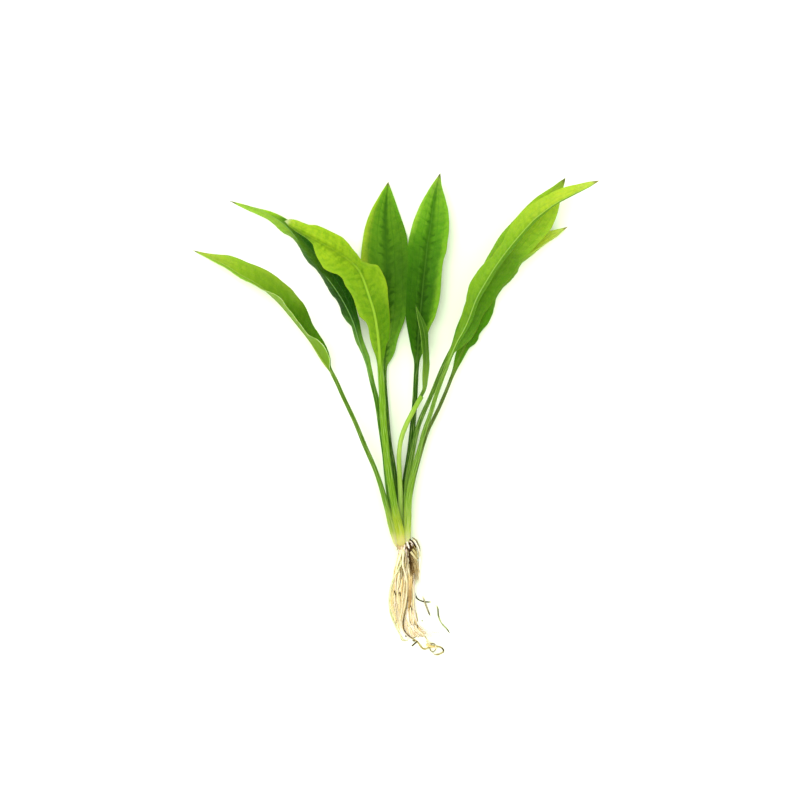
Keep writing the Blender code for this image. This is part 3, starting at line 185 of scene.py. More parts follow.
               (483.6, 315, -2.4), (489.6, 305.6, -2.6), (496.4, 294.6, -2.8), (502.6, 285.6, -3.0), (509, 278, -3.0),
               (515.6, 270, -3.0), (520.6, 262, -3.0), (527.6, 254.6, -3.0), (535, 247, -2.8), (542.6, 239.4, -2.6),
               (549.4, 231, -2.4), (554, 222.5, -2.0), (557, 215.5, -1.6), (559, 208.5, -1.3), (560.4, 201, -1.0),
               (562.4, 193, -0.7), (563.6, 187, -0.4), (565, 182.2, -0.2)],
        stalk=[(540.5, 1.55, 0.95), (500, 1.45, 1.0), (460, 1.35, 1.0), (400, 1.15, 1.0), (361, 1.05, 0.95)],
        arch=(0.06, 0.08), wave=((0.35, 6.0, 0.55), (0.5, 6.5, 0.2)), colour=(0.17, 0.42, 0.04)),
    "leaf_right_back": dict(
        mid=[(408.2, 540.5, 2.4), (409, 525, 2.5), (409.8, 500, 2.8), (413.4, 480, 3.2), (418.4, 460, 3.7),
             (422.8, 445, 4.1), (428, 430, 4.5), (433, 420, 4.8), (442.4, 400, 5.4), (448.6, 385, 5.8),
             (453, 373.6, 6.2), (457.2, 363, 6.5), (461.4, 353.6, 6.7), (466, 343.6, 6.9), (472.4, 330.6, 7.0),
             (479.4, 316.6, 7.0), (487, 300.6, 6.9), (495, 287, 6.7), (504, 275, 6.4), (513, 265, 6.1),
             (521, 258.4, 5.8), (528.4, 253.6, 5.6), (536.4, 248.4, 5.4), (549, 239.9, 5.4), (558, 233.4, 5.8),
             (567.7, 226.8, 6.8)],
        left=[(450.6, 374.5, 0.1), (453.4, 364, 0.4), (455.4, 355, 0.8), (458, 346, 1.0), (462.6, 333, 1.1), (468.8, 317.6, 1.2),
              (476.4, 301.6, 1.2), (485.4, 285.6, 1.2), (495.6, 271.4, 1.1), (506.4, 258.6, 1.0), (517.4, 249.4, 0.9),
              (528.4, 241.6, 0.8), (539, 235.6, 0.6), (549, 231, 0.5), (556, 229.4, 0.3), (562.6, 227.9, 0.1)],
        right=[(455.8, 373.6, -0.1), (461.6, 361.6, -0.6), (468.6, 349.6, -1.4), (475.4, 343.6, -1.8), (478, 339.5, -2.0),
               (479.4, 334, -2.0), (483, 329.6, -2.0), (488.6, 323.6, -2.4), (491.9, 317, -2.8), (494.2, 307, -3.4),
               (496.4, 298, -3.8), (501, 291.2, -4.2), (505.4, 285.6, -4.6), (511.6, 278.8, -5.0), (517, 272.6, -5.2),
               (520, 266.4, -5.4), (523.2, 261.9, -5.6), (528.6, 257.4, -5.8), (536.8, 250.9, -5.8), (545.8, 243.6, -5.2),
               (556, 236.9, -3.6), (563, 231.2, -1.6)],
        stalk=[(540.5, 1.15, 0.8), (500, 1.15, 0.9), (460, 1.1, 0.9), (430, 1.0, 0.9), (385, 0.9, 0.85), (373, 0.95, 0.85)],
        arch=(0.05, 0.16), wave=((0.3, 5.0, 0.3), (0.3, 6.0, 0.7)), colour=(0.2, 0.42, 0.05)),
}

# The trimmed stalk: chart x, chart y, z, and half width and half depth in mm.
CUT_STALK = [(401.6, 540.5, 6.55, 1.0, 0.62), (401.9, 528, 7.0, 1.1, 0.75), (401.3, 514, 7.6, 1.2, 0.9), (400.5, 500, 8.2, 1.25, 0.95),
             (400.0, 485, 8.8, 1.25, 1.0), (399.3, 470, 9.3, 1.22, 1.0), (399.0, 455, 9.8, 1.2, 1.0), (400.9, 440, 10.3, 1.2, 1.0),
             (405.2, 427, 10.8, 1.2, 1.0), (412.6, 412, 11.5, 1.2, 1.0), (421.4, 396.4, 12.7, 1.28, 1.02)]

# -------------------------------------------------------------------- roots
# Chart x, chart y along each root, radius in mm at its start and end, the
# height in mm at which it leaves the crown and that at which it comes to lie.
ROOTS = {
    "root_outer_left": ([(404.4, 553.0), (403.6, 557), (402.6, 561), (399.6, 567.4), (396.2, 573), (393.2, 579), (391.2, 585.6),
                         (389.7, 592), (389.2, 600), (389.6, 609), (391.2, 616), (394.2, 623.5), (398, 631), (400.6, 636),
                         (403, 639.4), (406.6, 640.2)], 0.52, 0.36, 7.4, 1.2),
    "root_left_tan": ([(399.6, 553.2), (399, 556), (397.8, 560), (396.2, 565), (395, 570.4), (394, 577), (393.6, 585),
                       (393.8, 593), (394.5, 600), (394.2, 607)], 0.44, 0.28, 3.0, 0.5),
    "root_left_pale": ([(401.4, 553.2), (400.8, 558), (400, 565), (398.8, 572.5), (397.8, 581), (397.2, 590), (397.5, 600),
                        (398.8, 608), (400.4, 616), (401.2, 622)], 0.48, 0.30, 5.4, 2.4),
    "root_left_cream": ([(398.8, 552.6), (397.7, 558), (396.9, 567), (396.9, 577), (398, 587), (399.8, 597), (401.5, 607),
                         (402.6, 616), (402.2, 623)], 0.46, 0.28, 4.6, 0.5),
    "root_centre_pale": ([(403.2, 553.2), (403, 559), (402.2, 566), (404, 571), (406.2, 576), (407, 582), (407.2, 588),
                          (406.6, 597), (405.2, 604), (403.8, 612)], 0.48, 0.28, 8.2, 3.6),
    "root_centre_cream": ([(403.0, 553.4), (402.6, 560), (401.5, 570), (400.4, 580), (400.5, 590), (402.2, 600), (404.2, 610),
                           (406.5, 619), (408, 627)], 0.46, 0.28, 2.4, 0.5),
    "root_centre_long": ([(405.2, 553.4), (404.3, 562), (403.7, 573), (402, 584), (399.4, 595), (396.8, 604), (395.2, 612),
                          (394.8, 619), (396, 625.4)], 0.46, 0.26, 3.6, 1.8),
    "root_centre_ivory": ([(406.6, 553.4), (407, 562), (406.2, 572), (404.6, 583), (403.3, 594), (402.3, 604), (401.2, 613),
                           (399.6, 621), (398.4, 628)], 0.46, 0.26, 5.6, 3.0),
    "root_brown_loop": ([(405.4, 553.2), (405.8, 560), (405.8, 573), (406.4, 586), (407.8, 597), (406.2, 607), (404, 617),
                         (402.6, 624), (402.8, 630), (406, 634), (410, 637.2), (414.4, 639.4), (417.6, 642), (420.2, 645.6),
                         (423.2, 648.6), (426.6, 648.6), (430, 646.6), (435, 646.2), (440, 647), (443, 649.2), (443.6, 651.4),
                         (441.4, 653), (437.6, 654.6), (434.2, 654.8)], 0.50, 0.34, 6.8, 0.5),
    "root_right_pale": ([(407.8, 553.4), (408.2, 561), (408.6, 568), (409.6, 574), (411.2, 582), (412.8, 588), (413.5, 595),
                         (413.3, 605), (412.5, 614)], 0.48, 0.30, 8.0, 3.0),
    "root_right_cream": ([(408.6, 553.4), (409.2, 563), (408.8, 574), (408.7, 586), (409.5, 597), (410.8, 607), (411, 617),
                          (409.8, 626)], 0.46, 0.28, 2.6, 0.5),
    "root_pink": ([(409.8, 553.2), (410.2, 560), (411, 566), (411.7, 573), (411.9, 580), (411, 588), (409.4, 596.5)], 0.40, 0.24, 6.2, 4.4),
    "root_amber_ring": ([(411.0, 552.8), (411.4, 563), (411.8, 575), (411.3, 585), (410.9, 592), (412, 600), (412.7, 610),
                         (413, 619), (414.2, 626), (417.6, 630.4), (421.8, 633.4), (425.2, 636.8), (427.6, 640.6), (430.2, 643.4),
                         (433.2, 643.6), (435.4, 645.4), (435.8, 648.4), (434.4, 651), (432, 651.8), (430.4, 650)], 0.50, 0.30, 4.4, 1.6),
    "root_wire": ([(409.8, 553.6), (411.2, 563), (412.2, 574), (413, 585), (414.8, 594.4), (417.4, 598.6), (421, 600.8),
                   (425.4, 601.8), (430, 602), (434.4, 603.4), (437.4, 607.4), (438.2, 614), (440, 620.4), (443, 625), (446.4, 628.4),
                   (449.6, 633)], 0.34, 0.22, 7.6, 0.4),
    "root_right_arch": ([(414.0, 541.2), (416.0, 543.2), (417.8, 546), (419.2, 550), (419.8, 555), (419.4, 562), (418.6, 570),
                         (418.6, 578), (420.2, 586), (422.4, 595), (425, 602.6), (427.6, 609.6), (430.2, 616)], 0.52, 0.30, 6.8, 0.6),
    "root_olive": ([(412.2, 551.6), (414.2, 559), (415.2, 569), (415.4, 580), (414.6, 591), (415, 602), (416.2, 612),
                    (417.6, 621), (418, 627)], 0.44, 0.26, 3.2, 0.5),
    "root_faint": ([(411.8, 552.6), (412.8, 562), (413.4, 574), (413.8, 586), (413.6, 598), (414, 609), (416, 619), (420, 627),
                    (427, 630.6), (433.6, 633), (439.5, 635), (445.4, 635.2)], 0.36, 0.20, 8.4, 0.9),
    "root_centre_back": ([(407.4, 553.4), (409.4, 565), (409.9, 578), (408, 590), (406.4, 601), (406.6, 611), (408.8, 620), (411.6, 628)],
                         0.44, 0.28, 1.4, 0.5),
    "root_short": ([(413.6, 549.0), (416, 551.6), (417.6, 555), (417.4, 558.8)], 0.42, 0.26, 4.6, 3.6),
}


# ----------------------------------------------------------- curve functions
def place(xyz):
    """Chart x, chart y, z in mm, turned into metres in the plant's frame."""
    xyz = np.asarray(xyz, float)
    near = 1.0 - xyz[..., 2] / EYE
    return 0.001 * np.stack([
        (xyz[..., 0] - CHART_MID[0]) * CHART * near + SHIFT[0],
        (CHART_MID[1] - xyz[..., 1]) * CHART * near + SHIFT[1],
        xyz[..., 2]], axis=-1)


def smooth_curve(points):
    """A natural cubic spline through the points, as a function of 0 to 1."""
    points = np.asarray(points, float)
    knots = np.concatenate([[0], np.cumsum(np.linalg.norm(np.diff(points[:, :2], axis=0), axis=1))])
    knots /= knots[-1]
    n, h = len(points), np.diff(knots)
    system, right = np.eye(n), np.zeros_like(points)
    for i in range(1, n - 1):
        system[i, i - 1:i + 2] = h[i - 1], 2 * (h[i - 1] + h[i]), h[i]
        right[i] = 6 * ((points[i + 1] - points[i]) / h[i] - (points[i] - points[i - 1]) / h[i - 1])
    bend = np.linalg.solve(system, right)

    def at(t):
        t = np.asarray(t, float)
        i = np.clip(np.searchsorted(knots, t, side="right") - 1, 0, n - 2)
        a, b, w = knots[i + 1] - t, t - knots[i], h[i]
        a, b, w = a[..., None], b[..., None], w[..., None]
        return (bend[i] * a ** 3 + bend[i + 1] * b ** 3) / (6 * w) + (points[i] / w - bend[i] * w / 6) * a + (points[i + 1] / w - bend[i + 1] * w / 6) * b
    return at


def monotone(x, y):
    """A cubic through the values that never overshoots them."""
    x, y = np.asarray(x, float), np.asarray(y, float)
    h, slope = np.diff(x), np.diff(y) / np.diff(x)
    d = np.zeros_like(y)
    for i in range(1, len(x) - 1):
        if slope[i - 1] * slope[i] > 0:
            w1, w2 = 2 * h[i] + h[i - 1], h[i] + 2 * h[i - 1]
            d[i] = (w1 + w2) / (w1 / slope[i - 1] + w2 / slope[i])
    d[0], d[-1] = slope[0], slope[-1]

    def at(t):
        t = np.clip(np.asarray(t, float), x[0], x[-1])
        i = np.clip(np.searchsorted(x, t, side="right") - 1, 0, len(x) - 2)
        w, u = h[i], (t - x[i]) / h[i]
        return (y[i] * (1 + 2 * u) * (1 - u) ** 2 + d[i] * w * u * (1 - u) ** 2
                + y[i + 1] * u * u * (3 - 2 * u) + d[i + 1] * w * u * u * (u - 1))
    return at


def ease(t):
    t = np.clip(t, 0, 1)
    return t * t * (3 - 2 * t)


# --------------------------------------------------------------- leaf shape
class Leaf:
    """The form of one leaf: s runs from its base to its tip, v from the left
    margin (-1) over the centre line (0) to the right margin (1)."""

    def __init__(self, spec):
        self.spec = spec
        curve = smooth_curve(spec["mid"])
        t = np.linspace(0, 1, 1201)
        points = curve(t)
        run = np.concatenate([[0], np.cumsum(np.linalg.norm(np.diff(points[:, :2], axis=0), axis=1))])
        self.length = run[-1]
        self.route = lambda s: curve(np.interp(s, run / run[-1], t))
        s = np.linspace(0, 1, 1201)
        line, across = self.route(s), self.normal(s)
        self.edges, starts = [], []
        for key in ("left", "right"):
            outline = np.asarray(spec[key], float)
            found = []
            for x, y, dz in outline:
                i = int(np.argmin(np.hypot(line[:, 0] - x, line[:, 1] - y)))
                found.append([s[i], (x - line[i, 0]) * across[i, 0] + (y - line[i, 1]) * across[i, 1], dz])
            found = np.asarray(found)
            for i in range(1, len(found)):
                found[i, 0] = max(found[i, 0], found[i - 1, 0] + 2e-3)
            starts.append(found[0, 0])
            found = np.vstack([found[found[:, 0] < 0.998], [1.0, 0.0, 0.0]])
            sign = 1 if key == "left" else -1
            first = found[0, 0]
            width = float(self.stalk(first - 14 / self.length)[0][0]) / CHART
            found = np.vstack([[first - 14 / self.length, sign * width, 0.0], found])
            self.edges.append((monotone(found[:, 0], found[:, 1]), monotone(found[:, 0], found[:, 2])))
        self.start = min(starts)

    def normal(self, s):
        """The chart direction to the left of the centre line."""
        step = 2e-3
        d = self.route(np.minimum(s + step, 1)) - self.route(np.maximum(s - step, 0))
        d = d[..., :2] / np.linalg.norm(d[..., :2], axis=-1, keepdims=True)
        return np.stack([d[..., 1], -d[..., 0]], axis=-1)

    def stalk(self, s):
        """Half width and half depth of the stalk at s, in mm."""
        table = np.asarray(self.spec["stalk"], float)[::-1]
        y = self.route(np.atleast_1d(s))[:, 1]
        return np.interp(y, table[:, 0], table[:, 1]), np.interp(y, table[:, 0], table[:, 2])

    def blade(self, s):
        """0 on the stalk, 1 on the blade."""
        return ease((s - self.start + 10 / self.length) / (26 / self.length))

    def rib(self, s):
        """Half depth of the midrib at s, in mm."""
        depth = self.stalk(np.minimum(s, self.start))[1]
        along = np.clip((s - self.start) / (1 - self.start), 0, 1)
        return RIB_TIP + (depth - RIB_TIP) * (1 - along) ** 1.6

    def half(self, s, u, side):
        """Across-and-up position in mm, and the direction that faces up, at a
        part u of the way from the centre line to the margin."""
        wide, high = self.edges[side]
        e = wide(s) * CHART
        z = high(s)
        length = np.hypot(e, z) + 1e-9
        sign = 1 if side == 0 else -1
        bow = self.spec["arch"][side] * length
        cx, cz = 0.5 * e - sign * z / length * bow, 0.5 * z + sign * e / length * bow
        x = 2 * u * (1 - u) * cx + u * u * e
        h = 2 * u * (1 - u) * cz + u * u * z
        dx = 2 * (1 - 2 * u) * cx + 2 * u * e
        dh = 2 * (1 - 2 * u) * cz + 2 * u * z
        norm = np.hypot(dx, dh) + 1e-9
        fx, fz = -sign * dh / norm, sign * dx / norm
        amount, count, phase = self.spec["wave"][side]
        along = np.clip((s - self.start) / (1 - self.start), 0, 1)
        wave = amount * np.sin(2 * math.pi * (count * along + phase)) * u ** 2 * np.sin(math.pi * along) ** 0.5
        return x + wave * fx, h + wave * fz, fx, fz


# --------------------------------------------------------------- root routes
def root_lines():
    """The roots' routes, spread in height until no two are nearer than their
    radii and ROOT_GAP.  Returns a list of (points, radii) in chart units and
    mm, the points ROOT_STEP apart."""
    lines = []
    for points, r0, r1, z0, z1 in ROOTS.values():
        flat = np.asarray(points, float)
        curve = smooth_curve(np.column_stack([flat, np.zeros(len(flat))]))
        fine = curve(np.linspace(0, 1, 600))
        run = np.concatenate([[0], np.cumsum(np.linalg.norm(np.diff(fine[:, :2], axis=0), axis=1))]) * CHART
        n = max(6, int(round(run[-1] / ROOT_STEP)) + 1)
        at = np.linspace(0, run[-1], n)
        xyz = np.column_stack([np.interp(at, run, fine[:, 0]), np.interp(at, run, fine[:, 1]), np.zeros(n)])
        part = at / run[-1]
        radius = r0 + (r1 - r0) * part
        fall = ease(at / 20.0)
        xyz[:, 2] = z0 + (z1 + radius - z0) * fall
        lines.append([xyz, radius])
    owner = np.concatenate([[i] * len(line[0]) for i, line in enumerate(lines)])
    p = np.vstack([line[0] for line in lines])
    p[:, :2] *= CHART
    home = p.copy()
    radius = np.concatenate([line[1] for line in lines])
    first = np.concatenate([[True], owner[1:] != owner[:-1]])
    last = np.concatenate([owner[1:] != owner[:-1], [True]])
    near_start = np.zeros(len(p))
    for i in range(len(lines)):
        index = np.flatnonzero(owner == i)
        near_start[index] = np.clip(np.arange(len(index)) / 4.0, 0.15, 1)
    apart = radius[:, None] + radius[None, :] + ROOT_GAP
    different = owner[:, None] != owner[None, :]
    inner = ~(first | last)
    for step in range(320):
        gap = p[:, None, :] - p[None, :, :]
        distance = np.sqrt((gap ** 2).sum(axis=2)) + 1e-9
        short = np.where(different & (distance < apart), apart - distance, 0.0)
        lift = np.where(np.abs(gap[:, :, 2]) > 1e-6, np.sign(gap[:, :, 2]), np.sign(owner[:, None] - owner[None, :]))
        push = np.zeros_like(p)
        push[:, 2] = (short * lift).sum(axis=1)
        push[:, :2] = 0.35 * (short[:, :, None] * gap[:, :, :2] / distance[:, :, None]).sum(axis=1)
        size = np.maximum(1.0, (short > 0).sum(axis=1))[:, None]
        p += 0.5 * push / size * near_start[:, None]
        bend = np.zeros_like(p)
        bend[1:-1] = p[:-2] + p[2:] - 2 * p[1:-1]
        bend[~inner] = 0
        p += (0.22 if step < 230 else 0.04) * bend
        if step < 260:
            p[:, :2] += 0.05 * (home[:, :2] - p[:, :2])
        if step < 200:
            p[:, 2] += 0.01 * (home[:, 2] - p[:, 2])
        p[:, 2] = np.maximum(p[:, 2], radius)
    p[:, :2] /= CHART
    return [(p[owner == i], radius[owner == i]) for i in range(len(lines))]


# ---------------------------------------------------------- detail settings
BLADE_STEP = 0.42      # mm between rings on a blade
STALK_STEP = 0.85      # mm between rings on a stalk
SHEET = 0.155          # half thickness of the blade beside its midrib, mm
VEINS = (0.36, 0.70)   # where the side veins run, as parts of the half width
LIT = 0.60             # surface colours as parts of the colours seen on the bright table

# What each leaf is tinted with, in colours as seen on the bright table, so they
# carry painted light and shade.  ramp follows the blade from its base to its
# tip.  deep is the band by the midrib, low and high on the blade, and band its
# width and strengths.  left and right tint the margins and halves a whole half:
# colour, strength, where it starts and is full across the half (margins only),
# and between which parts of the blade.  These tints are partly the leaf's own
# colour and partly painted light and shade: margins painted paler where the light
# falls on them, halves painted lighter or darker as they face the light or turn
# from it.  crest is the midrib's strength and width on the upper face, mottle
# that of the shading along the cross veins.
TONES = {
    # painted highlight: the pale left rim along the lit near margin
    "leaf_far_left": dict(
        ramp=((0.0, "#689A1A"), (0.42, "#72A21C"), (0.75, "#9CC22A"), (1.0, "#C8CC50")), deep=("#56860E", "#7CA820"), band=(0.5, 0.5, 0.2),
        left=("#B4DC5C", 0.7, 0.75, 1.0, 0.1, 0.8), right=("#A4C63A", 0.6, 0.5, 1.0, 0.4, 1.0),
        halves=(("#98C438", 0.8, 0.40, 0.95), ("#4A7C0A", 0.66, 0.0, 0.34)), rib="#B4CC5C", crest=(0.6, 1.0), mottle=0.5, under=("#84A830", 0.7),
        rims=(("#E4FAA8", 1.0), ("#7A7A1C", 0.6)), rim_wide=2.0, stalk="#648E28", low="#84B43C", sheath="#CCDC64", foot="#F8F0AC", gloss=0.04),
    # painted shadow: the dark middle of this ramp, the darkest deep colour and the dark right half stand for the shade
    # of the leaf in front
    "leaf_left_back": dict(
        ramp=((0.0, "#72A832"), (0.07, "#7CB03A"), (0.15, "#7CAC3A"), (0.25, "#508622"), (0.34, "#1C4A04"), (0.50, "#285A08"), (0.64, "#3C7218"), (0.74, "#6A9C24"), (0.84, "#A4CC2C"), (1.0, "#CCE070")),
        deep=("#1C4A04", "#8CB42C"), band=(0.5, 0.3, 0.3),
        left=("#3C7014", 0.4, 0.6, 1.0, 0.26, 0.6), right=("#CEE577", 0.5, 0.75, 1.0, 0.62, 0.9),
        halves=(("#A8CC48", 0.85, 0.73, 0.95), ("#1A4A06", 0.72, 0.26, 0.72)), rib="#8EBE70", crest=(0.7, 0.5), hidden=(0.50, 0.66), mottle=0.7, under=("#5E9020", 0.5),
        stalk="#4C8418", low="#6EA434", sheath="#C8D870", foot="#F4ECAE", gloss=0.02),
    # painted shade: the dark left half near the tip; painted highlight: the pale end colour on the tip
    "leaf_left_front": dict(
        ramp=((0.0, "#80AA20"), (0.22, "#7CA81A"), (0.40, "#82AE1C"), (0.56, "#8CB41A"), (0.72, "#A2C422"), (0.9, "#AACA28"), (1.0, "#BCCE44")),
        deep=("#6C9A12", "#7CA00E"), band=(0.26, 0.45, 0.9),
        left=("#A8CC34", 0.5, 0.55, 1.0, 0.1, 0.78), right=("#B0CE2E", 0.4, 0.6, 1.0, 0.3, 1.0),
        halves=(("#5C881A", 0.8, 0.85, 0.93), ("#568A0C", 0.7, 0.0, 0.27)), rib="#A8D43C", crest=(0.5, 1.0), mottle=1.0, under=("#4E8E16", 0.6), end="#C8D890",
        stalk="#84B826", low="#80B024", sheath="#CCD840", foot="#ECE080", gloss=0.12),
    # painted light: the base of the ramp is painted lighter against the shade of the leaves above it
    "leaf_middle_left": dict(
        ramp=((0.0, "#84B83C"), (0.2, "#7CB432"), (0.36, "#5E9A20"), (0.54, "#4A8216"), (0.7, "#5C9418"), (0.86, "#68A21E"), (1.0, "#8CC034")),
        deep=("#2C6006", "#3C740E"), band=(0.26, 0.66, 1.0),
        left=("#B0D034", 0.9, 0.56, 0.96, 0.44, 0.97), right=("#5E9A1A", 0.35, 0.6, 1.0, 0.6, 1.0),
        halves=(("#66A01C", 0.5, 0.4, 0.9), ("#386C0C", 0.15, 0.28, 0.5)), rib="#2E6A12", crest=(0.4, 0.8), end="#7A7A3C", mottle=0.9, under=("#7CAE34", 0.62),
        rims=(("#8A8A1C", 0.3), ("#6A5A1A", 0.4)), stalk="#3C6E12", low="#4C801E", sheath="#A4C048", foot="#E4DCA4", gloss=0.14),
    "leaf_middle_right": dict(
        ramp=((0.0, "#427412"), (0.2, "#306006"), (0.38, "#2C6008"), (0.54, "#447C12"), (0.7, "#64A01C"), (0.86, "#82B62C"), (1.0, "#A0B84C")),
        deep=("#1E4C02", "#40780C"), band=(0.30, 0.95, 0.9),
        left=("#A8D040", 0.8, 0.6, 1.0, 0.66, 1.0), right=("#84B62C", 0.85, 0.48, 0.92, 0.1, 0.97),
        halves=(("#3E7410", 0.3, 0.2, 0.6), ("#4C861A", 0.25, 0.3, 0.9)), rib="#5C9430", crest=(0.35, 0.7), mottle=1.0, under=("#74A830", 0.62),
        rims=(("#5E8A28", 0.25), ("#7A6A1C", 0.5)), stalk="#33680E", low="#30620E", sheath="#9CBA48", foot="#E4DCA4", gloss=0.12),
    "leaf_young": dict(
        ramp=((0.0, "#92B044"), (0.2, "#88AE3C"), (0.4, "#6C9234"), (0.6, "#507F1A"), (1.0, "#568626")), deep=("#3C6C12", "#3C6C12"), band=(0.4, 0.3, 0.6),
        left=("#86AC40", 0.6, 0.6, 1.0, 0.0, 1.0), right=("#6E9040", 0.3, 0.6, 1.0, 0.0, 1.0),
        halves=(("#4C7C18", 0.3, 0.4, 0.8), ("#64902C", 0.3, 0.0, 1.0)), rib="#86B448", crest=(0.5, 1.0), mottle=0.3, under=("#78A838", 0.62),
        rims=(("#A4C868", 0.6), ("#5A7A28", 0.3)), stalk="#5C8C26", low="#6C9C34", sheath="#C0D870", foot="#F0E8B4", gloss=0.08),
    # painted shade: the dark right half, on the steep half turned away from the light
    "leaf_right_front": dict(
        ramp=((0.0, "#78A230"), (0.2, "#70A222"), (0.36, "#88B828"), (0.54, "#90C02C"), (0.7, "#B4D234"), (0.86, "#CCE040"), (1.0, "#D4DC64")),
        deep=("#62981A", "#78AC20"), band=(0.22, 0.5, 0.3),
        left=("#A8CC38", 0.4, 0.6, 1.0, 0.2, 1.0), right=("#5E9A10", 0.5, 0.5, 1.0, 0.0, 0.85),
        halves=(("#96C62C", 0.1, 0.0, 1.0), ("#5C940C", 0.88, 0.0, 0.95)), rib="#B4DC6C", crest=(0.75, 0.5), end="#8A8244", mottle=0.5, under=("#7CAC2C", 0.62),
        rims=(("#8A9A1C", 0.45), ("#5E9A14", 0.8)),
        stalk="#7EA83C", low="#92BE3C", sheath="#CCE068", foot="#F6F2B0", gloss=0.01),
    # painted light: the whole ramp is painted lighter against the shade of the leaf lying over it
    "leaf_right_middle": dict(
        ramp=((0.0, "#66982C"), (0.2, "#6CA428"), (0.36, "#74AA22"), (0.54, "#84B42E"), (0.7, "#A0C830"), (0.86, "#B8D434"), (1.0, "#8CA03A")),
        deep=("#4A8214", "#84B028"), band=(0.3, 0.2, 0.1),
        left=("#A0C43C", 0.5, 0.5, 1.0, 0.3, 0.95), right=("#B0D03C", 0.6, 0.55, 1.0, 0.68, 0.97),
        halves=(("#7CA828", 0.3, 0.4, 1.0), ("#3C700C", 0.42, 0.2, 0.52)), rib="#8CB83C", crest=(0.5, 1.0), end="#6E7438", mottle=0.6, under=("#7CAE34", 0.62),
        stalk="#648E30", low="#88B43C", sheath="#CCE068", foot="#F4EEA8", gloss=0.06),
    "leaf_right_back": dict(
        ramp=((0.0, "#64981E"), (0.2, "#447A10"), (0.36, "#528C12"), (0.55, "#74A024"), (0.72, "#88B624"), (0.86, "#C8DE3C"), (1.0, "#D8E870")),
        deep=("#3A740C", "#9CC02C"), band=(0.3, 0.4, 0.1),
        left=("#B4D838", 0.4, 0.5, 1.0, 0.7, 1.0), right=("#A8A42C", 0.45, 0.9, 1.0, 0.35, 1.0),
        halves=(("#6AA01C", 0.3, 0.0, 0.7), ("#5A9614", 0.2, 0.0, 0.6)), rib="#8CB43C", crest=(0.4, 1.0), end="#8C7C48", mottle=0.5, under=("#86B43C", 0.62),
        rims=(("#8A7A1C", 0.4), ("#8A5A22", 0.7)),
        stalk="#6C8438", low="#7C9C40", sheath="#C8DC70", foot="#F0E8A4", gloss=0.05),
}


def paint(code, lit=LIT):
    """A colour code, as seen on the bright table, as the surface's own colour."""
    rgb = [int(code[i:i + 2], 16) / 255 for i in (1, 3, 5)]
    return tuple(lit * (q / 12.92 if q <= 0.04045 else ((q + 0.055) / 1.055) ** 2.4) for q in rgb)


CHANCE = np.random.default_rng(2024)
ORDER = np.tile(CHANCE.permutation(256), 2)
SLOPES = CHANCE.normal(size=(256, 3))
SLOPES /= np.linalg.norm(SLOPES, axis=1, keepdims=True)


def wander(points, seed):
    """Smooth noise of about -1 to 1 at each point of an array."""
    p = np.asarray(points, float) + np.array([17.3, -9.1, 5.7]) * seed
    cell = np.floor(p).astype(int)
    f = p - cell
    w = f * f * f * (f * (f * 6 - 15) + 10)
    total = 0.0
    for dx in (0, 1):
        for dy in (0, 1):
            for dz in (0, 1):
                code = ORDER[ORDER[ORDER[(cell[..., 0] + dx) & 255] + ((cell[..., 1] + dy) & 255)] + ((cell[..., 2] + dz) & 255)]
                dot = ((f - np.array([dx, dy, dz])) * SLOPES[code]).sum(axis=-1)
                total = total + dot * np.abs(1 - dx - w[..., 0]) * np.abs(1 - dy - w[..., 1]) * np.abs(1 - dz - w[..., 2])
    return total * 1.9


# ------------------------------------------------------------- mesh building
def add_piece(name, verts, faces, data, finish, nodes=(), maps=None):
    """A smooth mesh piece.  data holds named vectors for each vertex, maps the
    unwrapped place of each face corner."""
    mesh = bpy.data.meshes.new(name)
    mesh.from_pydata(np.asarray(verts, float).tolist(), [], faces if isinstance(faces, list) else faces.tolist())
    mesh.validate(clean_customdata=False)
    for key, values in data.items():
        layer = mesh.attributes.new(key, "FLOAT_VECTOR", "POINT")
        layer.data.foreach_set("vector", np.asarray(values, np.float32).ravel())
    if maps is not None and len(maps) == len(mesh.loops):
        layer = mesh.uv_layers.new(name="OFBake", do_init=False)
        layer.uv.foreach_set("vector", np.asarray(maps, np.float32).ravel())
    mesh.shade_smooth()
    mesh.update()
    obj = bpy.data.objects.new(name, mesh)
    bpy.context.scene.collection.objects.link(obj)
    mesh.materials.append(finish)
    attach(obj, "root")
    if nodes:
        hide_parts(*nodes)
    return obj


def close_rings(rings, tip=None, base=None):
    """Vertices and faces of a closed surface through an array of rings."""
    n, c = rings.shape[:2]
    verts = rings.reshape(-1, 3)
    i, j = np.meshgrid(np.arange(n - 1), np.arange(c), indexing="ij")
    k = (j + 1) % c
    faces = np.stack([i * c + j, i * c + k, (i + 1) * c + k, (i + 1) * c + j], axis=-1).reshape(-1, 4).tolist()
    extra = []
    for point, row, turn in ((base, 0, -1), (tip, n - 1, 1)):
        centre = rings[row].mean(axis=0) if point is None else point
        at = len(verts) + len(extra)
        extra.append(centre)
        loop = [(row * c + q, row * c + (q + 1) % c, at) for q in range(c)]
        faces += [tuple(f[::-1]) for f in loop] if turn < 0 else loop
    return np.vstack([verts, np.asarray(extra)]), faces


